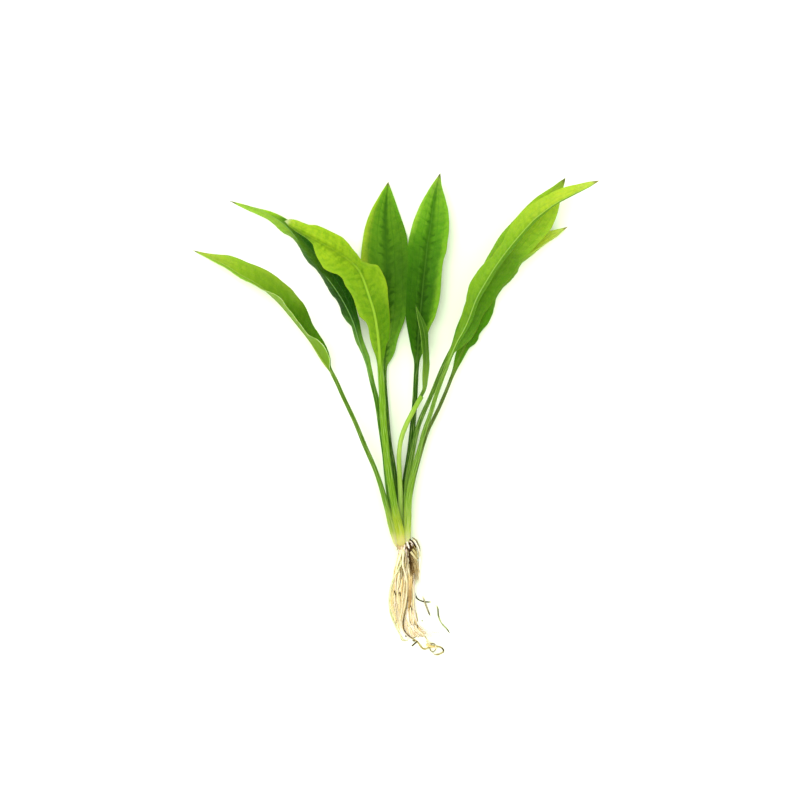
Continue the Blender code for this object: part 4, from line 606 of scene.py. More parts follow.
def sweep(points, radii, sides, seed=0.0, rough=0.0, flat=1.0):
    """Rings in mm round a route in mm, with small lumps on the surface."""
    points = np.asarray(points, float)
    tangent = np.gradient(points, axis=0)
    tangent /= np.linalg.norm(tangent, axis=1, keepdims=True) + 1e-12
    side = np.cross(tangent[0], [0, 0, 1.0])
    if np.linalg.norm(side) < 1e-3:
        side = np.array([1.0, 0, 0])
    frames = []
    for t in tangent:
        side = side - t * (side @ t)
        side /= np.linalg.norm(side) + 1e-12
        frames.append((side.copy(), np.cross(side, t)))
    frames = np.asarray(frames)
    angle = 2 * math.pi * np.arange(sides) / sides
    radius = np.asarray(radii, float)[:, None] * np.ones(sides)
    if rough:
        run = np.concatenate([[0], np.cumsum(np.linalg.norm(np.diff(points, axis=0), axis=1))])
        where = np.stack([np.cos(angle)[None, :] * 0.8 + 0 * run[:, None], np.sin(angle)[None, :] * 0.8 + 0 * run[:, None],
                          run[:, None] * 0.55 + 0 * angle[None, :]], axis=-1)
        radius = radius * (1 + rough * wander(where, seed))
    return (points[:, None, :] + radius[:, :, None] * (np.cos(angle)[None, :, None] * frames[:, None, 0]
                                                       + flat * np.sin(angle)[None, :, None] * frames[:, None, 1]))


def in_metres(mm):
    """Row-frame mm to metres."""
    return 0.001 * np.asarray(mm, float)


def chart_mm(xyz):
    """Chart points to row-frame mm."""
    return 1000.0 * place(xyz)


# --------------------------------------------------------------------- leaves
def fine_leaf(name, spec, number):
    """The detailed mesh of one leaf."""
    leaf = Leaf(spec)
    long_mm = leaf.length * CHART
    start = leaf.start
    n_stalk = int(start * long_mm / STALK_STEP)
    n_blade = int((1 - start) * long_mm / BLADE_STEP)
    grow = np.linspace(0, 1, n_blade + 1)
    s = np.concatenate([np.linspace(0, start, n_stalk, endpoint=False), start + (1 - start) * grow[:-1]])
    s = np.append(s, 1 - 0.25 * (1 - start) / n_blade)
    n = len(s)
    centre, left = leaf.route(s), leaf.normal(s)
    a, b = leaf.stalk(s)
    k, rib = leaf.blade(s), leaf.rib(s)
    along = np.clip((s - start) / (1 - start), 0, 1)
    run = (s - start) * long_mm
    upside = -1.0 if spec.get("rib_up", 0) else 1.0
    wide_rib = 0.16 + (0.95 * float(leaf.stalk(np.array([start]))[0][0]) - 0.16) * (1 - along) ** 1.1
    rib = 0.10 + (rib - 0.10) * 0.96
    grow_vein = ease(along / 0.07) * ease((1 - along) / 0.10)
    spacing = 2.3 + 1.3 * np.sin(math.pi * np.clip(along, 0.02, 0.98)) ** 0.6
    step = np.concatenate([[0], np.cumsum(np.diff(run) / (0.5 * (spacing[1:] + spacing[:-1])))])

    half_columns, sides = [], []
    for side in (0, 1):
        wide, high = leaf.edges[side]
        length = np.hypot(wide(s) * CHART, high(s)) + 1e-6
        inner = np.minimum(1.5 * wide_rib / length, 0.30)
        rows = [q * inner for q in (0, 0.17, 0.34, 0.48, 0.59, 0.67, 0.80, 1.0)]
        d1 = np.minimum(0.24 / length, 0.045)
        last = rows[-1]
        for vein, count in ((VEINS[0], 4), (VEINS[1], 5)):
            stop = vein - d1
            for q in range(1, count + 1):
                rows.append(last + (stop - last) * q / (count + 1))
            rows += [stop, vein + 0 * d1, vein + d1]
            last = rows[-1]
        edge = 1 - np.minimum(0.5 / length, 0.12)
        for q in range(1, 5):
            rows.append(last + (edge - last) * q / 5)
        rows += [edge, 1 - np.minimum(0.2 / length, 0.06), 1 - np.minimum(0.06 / length, 0.025), np.ones(n)]
        u = np.stack(rows, axis=1)
        x, h, fx, fz = leaf.half(s[:, None], u, side)
        half_columns.append((u, x, h, fx, fz, length[:, None] * u, length))
        sides.append(np.full(u.shape, -1.0 if side == 0 else 1.0))
    m = half_columns[0][0].shape[1]
    pick = [q[:, ::-1] for q in half_columns[0][:6]], [q[:, 1:] for q in half_columns[1][:6]]
    u, x, h, fx, fz, d = (np.concatenate([one, two], axis=1) for one, two in zip(*pick))
    length = np.concatenate([np.repeat(half_columns[0][6][:, None], m, 1), np.repeat(half_columns[1][6][:, None], m - 1, 1)], axis=1)
    sign = np.concatenate([-np.ones(m - 1), [0.0], np.ones(m - 1)])[None, :]
    tau = np.concatenate([np.arange(m - 1, 0, -1), np.arange(m)])[None, :] / (m - 1)

    # the two halves share a rounded fold at the midrib
    mid_fx = half_columns[0][3][:, 0] + half_columns[1][3][:, 0]
    mid_fz = half_columns[0][4][:, 0] + half_columns[1][4][:, 0]
    norm = np.hypot(mid_fx, mid_fz) + 1e-9
    turn = ease(d / (1.3 * wide_rib[:, None] + 0.35))
    fx = (1 - turn) * (mid_fx / norm)[:, None] + turn * fx
    fz = (1 - turn) * (mid_fz / norm)[:, None] + turn * fz
    norm = np.hypot(fx, fz) + 1e-9
    fx, fz = fx / norm, fz / norm

    # relief: side veins, slanting cross veins and the blade swelling between them
    vein_one = np.exp(-((u - VEINS[0]) * length / 0.24) ** 2)
    vein_two = 0.8 * np.exp(-((u - VEINS[1]) * length / 0.22) ** 2)
    lines = (vein_one + vein_two) * grow_vein[:, None]
    where = np.stack([sign * d / 6, run[:, None] / 6 + 0 * d, 0 * d], axis=-1)
    bend = wander(where, number + 0.5)
    phase = step[:, None] - 0.60 * d / spacing[:, None] + 0.16 * bend + 0.37 * (sign > 0)
    near = np.abs(phase - np.round(phase)) * spacing[:, None]
    cross = np.exp(-(near / 0.24) ** 2) * grow_vein[:, None] * ease((d - wide_rib[:, None]) / 0.6) * ease((1 - u) * length / 1.2)
    cell = np.where(u < VEINS[0], u / VEINS[0], np.where(u < VEINS[1], (u - VEINS[0]) / (VEINS[1] - VEINS[0]), (u - VEINS[1]) / (1 - VEINS[1])))
    swell = (0.5 - 0.5 * np.cos(2 * math.pi * phase)) * np.sin(math.pi * np.clip(cell, 0, 1)) ** 0.8 * grow_vein[:, None]
    swell = 0.085 * swell * np.clip(length / 7, 0, 1) * (0.75 + 0.5 * wander(where * 0.8 + 3.1, number + 0.8))
    soft = 0.20 * wander(where * np.array([0.65, 0.5, 1.0]) + 7.7, number + 0.2) * u ** 1.2
    ripple = 0.13 * wander(np.stack([run[:, None] / 2.6 + 0 * u, sign * 3.0 + 0 * u, 0 * u], axis=-1), number + 0.9) * u ** 5
    fade = np.clip(length / 4, 0, 1) * ease(along / 0.1)[:, None] * ease((1 - along) / 0.06)[:, None]
    move = upside * swell + (soft + ripple) * fade
    x, h = x + move * fx, h + move * fz

    round_rib = np.clip(1 - (d / wide_rib[:, None]) ** 2, 0, 1) ** 0.6
    foot = 0.18 * np.exp(-((d / wide_rib[:, None] - 1.0) / 0.28) ** 2) * (d > 0.6 * wide_rib[:, None])
    thin = SHEET * (1 - 0.45 * u ** 2)
    thin = thin * np.clip((1 - u) * length / 0.10, 0, 1) ** 0.5
    ridge = thin + (rib[:, None] - thin).clip(0) * np.clip(round_rib + foot * 0.5, 0, 1) + 0.07 * lines + 0.03 * cross
    furrow = thin - 0.045 * lines - 0.02 * cross - 0.5 * thin * round_rib * ease((d < 2 * wide_rib[:, None]) * 1.0) * (1 - along[:, None])
    over, below = (ridge, furrow) if upside < 0 else (furrow, ridge)
    over, below = np.where(u >= 1, 0, over), np.where(u >= 1, 0, below)

    # the stalk's oval, ridged along its length and channelled on its upper face
    angle = math.pi / 2 * (1 - tau) * np.where(sign <= 0, 1, 1)
    whole = np.where(sign <= 0, math.pi - angle, angle)
    fine = 1 + 0.022 * np.cos(13 * whole + number) + 0.012 * np.cos(29 * whole + 2 * number)
    fine_low = 1 + 0.022 * np.cos(11 * whole + 2 * number) + 0.012 * np.cos(27 * whole + number)
    wobble = 1 + 0.035 * wander(np.stack([run / 7, 0 * run, 0 * run], axis=-1), number + 0.3)[:, None]
    channel = 0.20 * np.exp(-(tau / 0.24) ** 2)
    side_x = np.where(sign <= 0, 1.0, -1.0) * np.cos(angle)
    px = side_x * a[:, None] * wobble
    up_z = np.sin(angle) * b[:, None] * fine * wobble
    low_z = -np.sin(angle) * b[:, None] * fine_low * wobble
    if upside > 0:
        up_z = up_z * (1 - channel)
    else:
        low_z = low_z * (1 - channel)
    px_up, px_low = px * fine, px * fine_low
    px_up = np.where(tau >= 1, px, px_up)
    px_low = np.where(tau >= 1, px, px_low)

    kk = k[:, None]
    surface = centre[:, 2:3] + kk * h
    lifted = 0.5 * (surface + 0.20 + np.sqrt((surface - 0.20) ** 2 + 0.06 ** 2))
    lifted = np.where(kk > 0.02, lifted, surface)
    top_x, low_x = (1 - kk) * px_up + kk * (x + over * fx), (1 - kk) * px_low + kk * (x - below * fx)
    top_z = lifted + (1 - kk) * up_z + kk * over * fz
    low_z = lifted + (1 - kk) * low_z - kk * below * fz
    top_z, low_z = np.maximum(top_z, 0.06), np.maximum(low_z, 0.02)

    # the foot of the stalk runs on into the crown
    n_foot = 7
    foot_s = np.linspace(1, 0, n_foot, endpoint=False)
    base, tangent = centre[0], centre[1] - centre[0]
    tangent /= np.linalg.norm(tangent[:2])
    goal = np.array([CROWN_MID[0] + 0.62 * (base[0] - CROWN_MID[0]), CROWN_MID[1] + 1.0, CROWN_MID[2] + 0.66 * (base[2] - CROWN_MID[2])])
    middle = base - 3.0 * np.array([tangent[0], tangent[1], 0.4 * tangent[2]])
    q = foot_s[:, None]
    path = (1 - q) ** 2 * base + 2 * q * (1 - q) * middle + q * q * goal
    shrink = 1 - 0.30 * foot_s ** 1.5
    path = np.vstack([path, centre])
    across = np.vstack([np.repeat(left[:1], n_foot, 0), left])
    top_x = np.vstack([top_x[:1] * shrink[:, None], top_x])
    low_x = np.vstack([low_x[:1] * shrink[:, None], low_x])
    rel_top, rel_low = top_z[:1] - base[2], low_z[:1] - base[2]
    top_z = np.vstack([path[:n_foot, 2:3] + rel_top * shrink[:, None], top_z])
    low_z = np.vstack([path[:n_foot, 2:3] + rel_low * shrink[:, None], low_z])

    def chart(across_mm, z):
        return np.stack([path[:, 0:1] + across[:, 0:1] * across_mm / CHART, path[:, 1:2] + across[:, 1:2] * across_mm / CHART, z], axis=-1)

    rows_top, rows_low = chart(top_x, top_z), chart(low_x, low_z)
    rings = np.concatenate([rows_top, rows_low[:, -2:0:-1]], axis=1)
    tip = leaf.route(np.array([1.0]))[0]
    tip[2] = max(tip[2], 0.1)
    verts, faces = close_rings(chart_mm(rings), tip=chart_mm(tip))
    verts[:, 2] = np.where(verts[:, 2] > 29.8, 29.8 + 0.7 * np.tanh((verts[:, 2] - 29.8) / 0.7), verts[:, 2])

    # what the finish reads: places in mm across and along, parts of the leaf
    foot_run = run[0] - 3.4 * foot_s
    run = np.concatenate([foot_run, run])
    pad = lambda q: np.concatenate([np.repeat(q[:1], n_foot, 0), q])
    d, u, length, along, k = pad(d), pad(u), pad(length), pad(along), pad(k)
    full = np.broadcast_to(sign, d.shape)
    girth = pad(a)[:, None] * tau * 1.4
    spread = k[:, None] * d + (1 - k[:, None]) * girth
    ups = np.ones_like(d)
    place_one = np.stack([full * spread, run[:, None] + 0 * d, (1 - u) * length], axis=-1)
    place_two = np.stack([full * (k[:, None] * u + (1 - k[:, None]) * tau), along[:, None] + 0 * d, k[:, None] + 0 * d], axis=-1)
    place_three = np.stack([ups, run[:, None] - run[0] + 0 * d, pad(phase)], axis=-1)

    def whole_rings(field, low=None):
        under = field if low is None else low
        flat = np.concatenate([field, under[:, -2:0:-1]], axis=1)
        return np.vstack([flat.reshape(-1, 3), flat[0].mean(axis=0), flat[-1].mean(axis=0)])

    low_three = place_three.copy()
    low_three[..., 0] = 0.0
    data = {"leaf_a": whole_rings(place_one), "leaf_b": whole_rings(place_two), "leaf_c": whole_rings(place_three, low_three)}
    maps = unwrap_leaf(rings.shape[0], rings.shape[1], u.shape[1], n_foot + n_stalk)
    return in_metres(verts), faces, data, maps


def unwrap_leaf(n, c, m, split):
    """Four strips side by side: blade above, blade below, stalk above and
    stalk below."""
    i, j = np.meshgrid(np.arange(n - 1), np.arange(c), indexing="ij")
    under = j >= m - 1
    part = np.where(under, (j - (m - 1)) / (m - 1), j / (m - 1))
    step = 1.0 / (m - 1)
    blade = i >= split
    base_u = np.where(blade, np.where(under, 0.375, 0.01), np.where(under, 0.87, 0.74))
    wide_u = np.where(blade, 0.355, 0.115)
    v0 = np.where(blade, (i - split) / max(n - 1 - split, 1), i / split)
    dv = np.where(blade, 1.0 / max(n - 1 - split, 1), 1.0 / split)
    v0, dv = 0.012 + 0.955 * v0, 0.955 * dv
    lo_u, hi_u = base_u + wide_u * part, base_u + wide_u * (part + step)
    corners = np.stack([np.stack([lo_u, v0], -1), np.stack([hi_u, v0], -1), np.stack([hi_u, v0 + dv], -1), np.stack([lo_u, v0 + dv], -1)], axis=2)
    flat = [corners.reshape(-1, 2)]
    for row, turn in ((0, -1), (n - 1, 1)):
        q = np.arange(c)
        low = q >= m - 1
        part = np.where(low, (q - (m - 1)) / (m - 1), q / (m - 1))
        if turn < 0:
            box_u, box_w, v, away = np.where(low, 0.87, 0.74), 0.115, 0.012, 0.004
        else:
            box_u, box_w, v, away = np.where(low, 0.375, 0.01), 0.355, 0.967, 0.975
        one = np.stack([box_u + box_w * part, np.full(c, v)], -1)
        two = np.stack([box_u + box_w * (part + step), np.full(c, v)], -1)
        end = np.stack([box_u + box_w * (part + 0.5 * step), np.full(c, away)], -1)
        tri = np.stack([end, two, one], axis=1) if turn < 0 else np.stack([one, two, end], axis=1)
        flat.append(tri.reshape(-1, 2))
    return np.vstack(flat)


# ------------------------------------------------------------------ materials
class Graph:
    """Short calls for a material's nodes."""

    def __init__(self, name):
        self.made = bpy.data.materials.new(name)
        self.made.use_nodes = True
        self.tree = self.made.node_tree
        self.shader = self.tree.nodes["Principled BSDF"]

    def link(self, value, socket):
        if isinstance(value, (int, float)):
            socket.default_value = float(value)
        elif isinstance(value, tuple):
            socket.default_value = (*value, 1.0) if len(value) == 3 and socket.type == "RGBA" else value
        else:
            self.tree.links.new(value, socket)

    def math(self, op, one, two=0.0, three=0.0, clamp=False):
        node = self.tree.nodes.new("ShaderNodeMath")
        node.operation, node.use_clamp = op, clamp
        for value, socket in zip((one, two, three), node.inputs):
            self.link(value, socket)
        return node.outputs[0]

    def between(self, value, low, high, to_low=0.0, to_high=1.0):
        node = self.tree.nodes.new("ShaderNodeMapRange")
        node.interpolation_type = "SMOOTHSTEP"
        for one, socket in zip((value, low, high, to_low, to_high), node.inputs):
            self.link(one, socket)
        return node.outputs[0]

    def mix(self, part, one, two, kind="MIX"):
        node = self.tree.nodes.new("ShaderNodeMix")
        node.data_type, node.blend_type, node.clamp_factor = "RGBA", kind, True
        self.link(part, node.inputs[0])
        self.link(one, node.inputs[6])
        self.link(two, node.inputs[7])
        return node.outputs[2]

    def field(self, name):
        node = self.tree.nodes.new("ShaderNodeAttribute")
        node.attribute_name = name
        parts = self.tree.nodes.new("ShaderNodeSeparateXYZ")
        self.tree.links.new(node.outputs["Vector"], parts.inputs[0])
        return parts.outputs

    def point(self, x, y, z=0.0):
        node = self.tree.nodes.new("ShaderNodeCombineXYZ")
        for one, socket in zip((x, y, z), node.inputs):
            self.link(one, socket)
        return node.outputs[0]

    def noise(self, where, scale, detail=2.0, rough=0.5):
        node = self.tree.nodes.new("ShaderNodeTexNoise")
        self.link(where, node.inputs["Vector"])
        node.inputs["Scale"].default_value = scale
        node.inputs["Detail"].default_value = detail
        node.inputs["Roughness"].default_value = rough
        return node.outputs[0]

    def cells(self, where, scale, feature="DISTANCE_TO_EDGE"):
        node = self.tree.nodes.new("ShaderNodeTexVoronoi")
        node.feature = feature
        self.link(where, node.inputs["Vector"])
        node.inputs["Scale"].default_value = scale
        return node.outputs[0]

    def ramp(self, value, stops):
        node = self.tree.nodes.new("ShaderNodeValToRGB")
        band = node.color_ramp
        while len(band.elements) < len(stops):
            band.elements.new(0.5)
        for element, (at, colour) in zip(band.elements, stops):
            element.position, element.color = at, (*colour, 1.0)
        self.link(value, node.inputs[0])
        return node.outputs[0]

    def bump(self, height, strength, distance):
        node = self.tree.nodes.new("ShaderNodeBump")
        self.link(height, node.inputs["Height"])
        node.inputs["Strength"].default_value = strength
        node.inputs["Distance"].default_value = distance
        return node.outputs[0]

    def set(self, name, value):
        self.link(value, self.shader.inputs[name])


def leaf_finish(name, tone, rib_up):
    """Green leaf: tints along and across the blade, partly painted light and
    shade, veins, mottling, thin red margins and a pale foot."""
    g = Graph(name)
    d, run, margin = g.field("leaf_a")
    v, along, blade = g.field("leaf_b")
    top, base, phase = g.field("leaf_c")
    colour = {key: paint(value) for key, value in tone.items() if isinstance(value, str)}
    size = g.math("ABSOLUTE", d)
    part = g.math("ABSOLUTE", v)
    flat = g.point(d, run)

    cloud = g.noise(g.point(g.math("MULTIPLY", d, 0.9), g.math("MULTIPLY", run, 0.45)), 0.28, 3.0, 0.6)
    shift = g.math("MULTIPLY_ADD", cloud, 0.16, -0.08)
    tint = g.ramp(g.math("ADD", along, shift), [(at, paint(code)) for at, code in tone["ramp"]])

    # the halves, the margins and the band beside the midrib; the half and margin tints are partly painted light and
    # shade
    drift = g.math("MULTIPLY_ADD", cloud, 0.30, -0.15)
    for sign, edge, half in zip((-1.0, 1.0), (tone["left"], tone["right"]), tone["halves"]):
        outward = g.math("MULTIPLY", v, sign)
        code, much, first, last = half
        whole = g.math("MULTIPLY", g.between(outward, 0.0, 0.12), much)
        whole = g.math("MULTIPLY", whole, g.between(along, first - 0.10, first + 0.02))
        tint = g.mix(g.math("MULTIPLY", whole, g.between(along, last, last + 0.12, 1.0, 0.0)), tint, paint(code))
        code, much, low, full, first, last = edge
        band = g.math("MULTIPLY", g.between(g.math("ADD", outward, drift), low, full), much)
        band = g.math("MULTIPLY", band, g.between(along, first - 0.08, first + 0.06))
        tint = g.mix(g.math("MULTIPLY", band, g.between(along, last, last + 0.1, 1.0, 0.0)), tint, paint(code))
    # veins: slanting cross veins, side veins and a fine net between them
    stray = g.math("MULTIPLY_ADD", g.noise(flat, 0.42, 2.0, 0.5), 0.7, -0.35)
    phase = g.math("ADD", phase, stray)
    to_cross = g.math("ABSOLUTE", g.math("SUBTRACT", phase, g.math("ROUND", phase)))
    cross = g.between(to_cross, 0.02, 0.085, 1.0, 0.0)
    loose = g.math("MULTIPLY_ADD", g.noise(g.point(d, run, 7.0), 0.20, 2.0, 0.55), 1.7, g.math("MULTIPLY", phase, 0.74))
    to_loose = g.math("ABSOLUTE", g.math("SUBTRACT", loose, g.math("ROUND", loose)))
    shade = g.between(to_loose, 0.03, 0.38, 1.0, 0.0)
    whole = g.math("DIVIDE", margin, g.math("MAXIMUM", g.math("SUBTRACT", 1.0, part), 0.02))
    near_one = g.math("MULTIPLY", g.math("ABSOLUTE", g.math("SUBTRACT", part, VEINS[0])), whole)
    near_two = g.math("MULTIPLY", g.math("ABSOLUTE", g.math("SUBTRACT", part, VEINS[1])), whole)
    side = g.math("MAXIMUM", g.between(near_one, 0.06, 0.34, 1.0, 0.0), g.math("MULTIPLY", g.between(near_two, 0.05, 0.30, 1.0, 0.0), 0.8))
    inside = g.math("MULTIPLY", g.between(margin, 0.3, 2.4), g.between(along, 0.02, 0.12))
    net = g.between(g.cells(flat, 1.15), 0.0, 0.10, 1.0, 0.0)
    fine = g.noise(flat, 1.3, 4.0, 0.62)
    grain = g.noise(flat, 6.5, 2.0, 0.5)
    patchy = g.between(g.noise(g.point(d, g.math("MULTIPLY", run, 0.6), 4.0), 0.22, 2.0, 0.6), 0.42, 0.60)
    veins = g.math("MULTIPLY", g.math("MAXIMUM", g.math("MULTIPLY", cross, g.math("MULTIPLY_ADD", patchy, 0.7, 0.1)), side), inside)
    much = tone["mottle"]
    deep = g.mix(g.between(along, 0.3, 0.85), paint(tone["deep"][0]), paint(tone["deep"][1]))
    wide, much_low, much_high = tone["band"]
    feather = g.math("MULTIPLY", g.math("MULTIPLY", shade, g.between(along, 0.92, 0.55)), g.math("MULTIPLY_ADD", patchy, 0.16 * much, 0.06 * much))
    band = g.between(g.math("SUBTRACT", part, feather), wide * 0.15, wide, 1.0, 0.0)
    band = g.math("MULTIPLY", band, g.between(along, 0.88, 0.99, 1.0, 0.25))
    tint = g.mix(g.math("MULTIPLY", band, g.between(along, 0.3, 0.95, much_low, much_high)), tint, deep)
    darker, paler = g.mix(1.0, tint, (0.46, 0.67, 0.28), "MULTIPLY"), g.mix(1.0, tint, (1.42, 1.22, 1.25), "MULTIPLY")
    ladder = g.math("MULTIPLY", g.math("MULTIPLY", shade, inside), g.math("MULTIPLY_ADD", patchy, 0.40 * much, 0.10 * much))
    cells = g.math("MULTIPLY", g.math("MULTIPLY", g.between(to_loose, 0.16, 0.46), inside), g.math("MULTIPLY_ADD", patchy, -0.24 * much, 0.30 * much))
    blotch = g.noise(g.point(d, run, 2.0), 0.46, 3.0, 0.62)
    tint = g.mix(ladder, tint, darker)
    tint = g.mix(cells, tint, paler)
    tint = g.mix(g.math("MULTIPLY", g.between(blotch, 0.50, 0.68), 0.34 * much), tint, darker)
    tint = g.mix(g.math("MULTIPLY", g.between(blotch, 0.47, 0.30), 0.36 * much), tint, paler)
    tint = g.mix(g.math("MULTIPLY", side, g.math("MULTIPLY", inside, 0.26)), tint, darker)
    tint = g.mix(g.math("MULTIPLY", veins, 0.10), tint, colour["rib"])
    tint = g.mix(g.math("MULTIPLY", net, g.math("MULTIPLY", inside, 0.09)), tint, colour["rib"])
    tint = g.mix(g.between(fine, 0.44, 0.72, 0.0, 0.30), tint, darker)
    tint = g.mix(g.between(fine, 0.50, 0.30, 0.0, 0.16), tint, paler)

    # the midrib itself, paler and clearer on the back of the leaf
    rib_wide = g.math("MULTIPLY_ADD", along, -0.56 * tone["crest"][1], 0.86 * tone["crest"][1])
    rib = g.between(size, g.math("MULTIPLY", rib_wide, 0.55), rib_wide, 1.0, 0.0)
    back = top if rib_up else g.math("SUBTRACT", 1.0, top)
    if not rib_up:
        tint = g.mix(g.math("MULTIPLY", back, tone["under"][1]), tint, paint(tone["under"][0]))
    much, broad = tone["crest"]
    if rib_up:
        rib_part = g.math("MULTIPLY", rib, g.math("MULTIPLY_ADD", back, 0.65, 0.2))
        rib_part = g.math("MULTIPLY", rib_part, g.between(along, 0.42, 0.62, 1.0, 0.15))
    else:
        rib_part = g.math("MULTIPLY", rib, g.math("MULTIPLY_ADD", back, 0.85 - much, much))
    if "hidden" in tone:
        first, last = tone["hidden"]
        gap = g.math("MULTIPLY", g.between(along, first - 0.04, first), g.between(along, last, last + 0.03, 1.0, 0.0))
        rib_part = g.math("MULTIPLY", rib_part, g.math("SUBTRACT", 1.0, gap))
    tint = g.mix(rib_part, tint, colour["rib"])

    # stalk: dark streaks, pale painted-highlight streaks (the gleam colour), and from the crown up pale, yellow, then
    # green
    streak = g.noise(g.point(g.math("MULTIPLY", d, 3.2), g.math("MULTIPLY", run, 0.10), top), 1.0, 3.0, 0.6)
    patch = g.noise(g.point(d, g.math("MULTIPLY", run, 0.35), top), 0.45, 2.0, 0.5)
    between_two = tuple(0.5 * (one + two) for one, two in zip(colour["sheath"], colour["low"]))
    stalk = g.ramp(g.math("MULTIPLY_ADD", patch, 0.05, g.math("MULTIPLY", base, 1 / 90.0)),
                   [(0.0, colour["foot"]), (0.062, colour["foot"]), (0.115, colour["sheath"]), (0.185, between_two), (0.28, colour["low"]), (0.62, colour["stalk"])])
    dim = g.mix(1.0, stalk, (0.42, 0.58, 0.26), "MULTIPLY")
    strong = g.between(base, 2.0, 14.0, 0.35, 1.0)
    stalk = g.mix(g.math("MULTIPLY", g.between(streak, 0.44, 0.62, 0.0, 0.72), strong), stalk, dim)
    stalk = g.mix(g.between(streak, 0.50, 0.36, 0.0, 0.55), stalk, paint(tone.get("gleam", "#B8D878")))
    dusty = g.noise(g.point(g.math("MULTIPLY", d, 1.6), run, top), 1.1, 3.0, 0.6)
    stalk = g.mix(g.between(g.math("MULTIPLY_ADD", dusty, 4.0, base), 4.4, 1.0, 0.0, 0.7), stalk, paint("#DEB878"))
    stalk = g.mix(g.between(g.math("MULTIPLY_ADD", dusty, 5.0, base), 2.6, 0.6, 0.0, 0.75), stalk, paint("#A8783C"))
    tint = g.mix(blade, stalk, tint)

    # thin dry rim and tip; the pale left rim of the far left leaf and the pale end of the left front leaf are painted
    # highlights
    broken = g.between(g.noise(g.point(g.math("MULTIPLY", run, 0.35), v), 1.0, 2.0, 0.6), 0.36, 0.60, 0.25, 1.0)
    wide = tone.get("rim_wide", 1.0)
    rim = g.math("MULTIPLY", g.math("MULTIPLY", g.between(margin, 0.10 * wide, 0.26 * wide, 1.0, 0.0), broken), blade)
    edge_left, edge_right = tone.get("rims", (("#8A5A22", 0.62), ("#8A5A22", 0.62)))
    tint = g.mix(g.math("MULTIPLY", g.math("MULTIPLY", rim, g.between(v, -0.5, -0.4, 1.0, 0.0)), edge_left[1]), tint, paint(edge_left[0]))
    tint = g.mix(g.math("MULTIPLY", g.math("MULTIPLY", rim, g.between(v, 0.4, 0.5)), edge_right[1]), tint, paint(edge_right[0]))
    dry = g.between(g.math("ADD", along, g.math("MULTIPLY", shift, 0.05)), *tone.get("dry", (0.965, 0.988)))
    tint = g.mix(g.math("MULTIPLY", dry, 0.85), tint, paint(tone.get("end", "#5E5240")))

    g.set("Base Color", tint)
    g.set("Roughness", g.math("ADD", g.between(fine, 0.3, 0.7, 0.33, 0.47), g.math("MULTIPLY", g.math("SUBTRACT", 1.0, top), 0.06)))
    g.shader.inputs["Specular IOR Level"].default_value = tone.get("gloss", 0.14)
    g.shader.inputs["Specular Tint"].default_value = (0.50, 0.80, 0.15, 1)
    g.set("Subsurface Weight", g.math("MULTIPLY_ADD", dry, -0.38, 0.4))
    g.shader.inputs["Subsurface Radius"].default_value = (0.55, 1.0, 0.04)
    g.shader.inputs["Subsurface Scale"].default_value = 0.0012
    relief = g.math("MULTIPLY", g.math("ADD", g.math("MULTIPLY", veins, -0.5), g.math("MULTIPLY", net, -0.18)), blade)
    relief = g.math("ADD", relief, g.math("MULTIPLY", grain, 0.22))
    relief = g.math("ADD", relief, g.math("MULTIPLY", g.math("MULTIPLY", streak, 0.7), g.math("SUBTRACT", 1.0, blade)))
    g.set("Normal", g.bump(relief, 0.55, 0.00014))
    return g.made


def cut_finish():
    """The trimmed stalk: lime green, paler at the foot, fibrous at the cut."""
    g = Graph("cut_stalk_lime")
    turn, run, cut = g.field("root_a")
    streak = g.noise(g.point(g.math("MULTIPLY", turn, 5.0), g.math("MULTIPLY", run, 0.12)), 1.0, 3.0, 0.6)
    tint = g.ramp(g.math("MULTIPLY", run, 1 / 84.0), [(0.0, paint("#B8B464")), (0.10, paint("#86A840")), (0.30, paint("#A2C654")), (0.62, paint("#BADC5C")), (0.84, paint("#A6D03C")), (1.0, paint("#86BE26"))])
    tint = g.mix(g.between(streak, 0.45, 0.7, 0.0, 0.45), tint, paint("#7FB52C"))
    tint = g.mix(g.between(streak, 0.5, 0.3, 0.0, 0.35), tint, paint("#CDE886"))
    tint = g.mix(g.between(cut, 0.0, 1.0, 0.0, 0.75), tint, paint("#6E9A2A"))
    g.set("Base Color", tint)
    g.set("Roughness", g.between(streak, 0.3, 0.7, 0.36, 0.5))
    g.shader.inputs["Subsurface Weight"].default_value = 0.4
    g.shader.inputs["Subsurface Radius"].default_value = (0.8, 1.0, 0.2)
    g.shader.inputs["Subsurface Scale"].default_value = 0.0025
    g.shader.inputs["Specular IOR Level"].default_value = 0.42
    g.shader.inputs["Specular Tint"].default_value = (0.7, 0.95, 0.35, 1)
    g.set("Normal", g.bump(streak, 0.5, 0.00016))
    return g.made


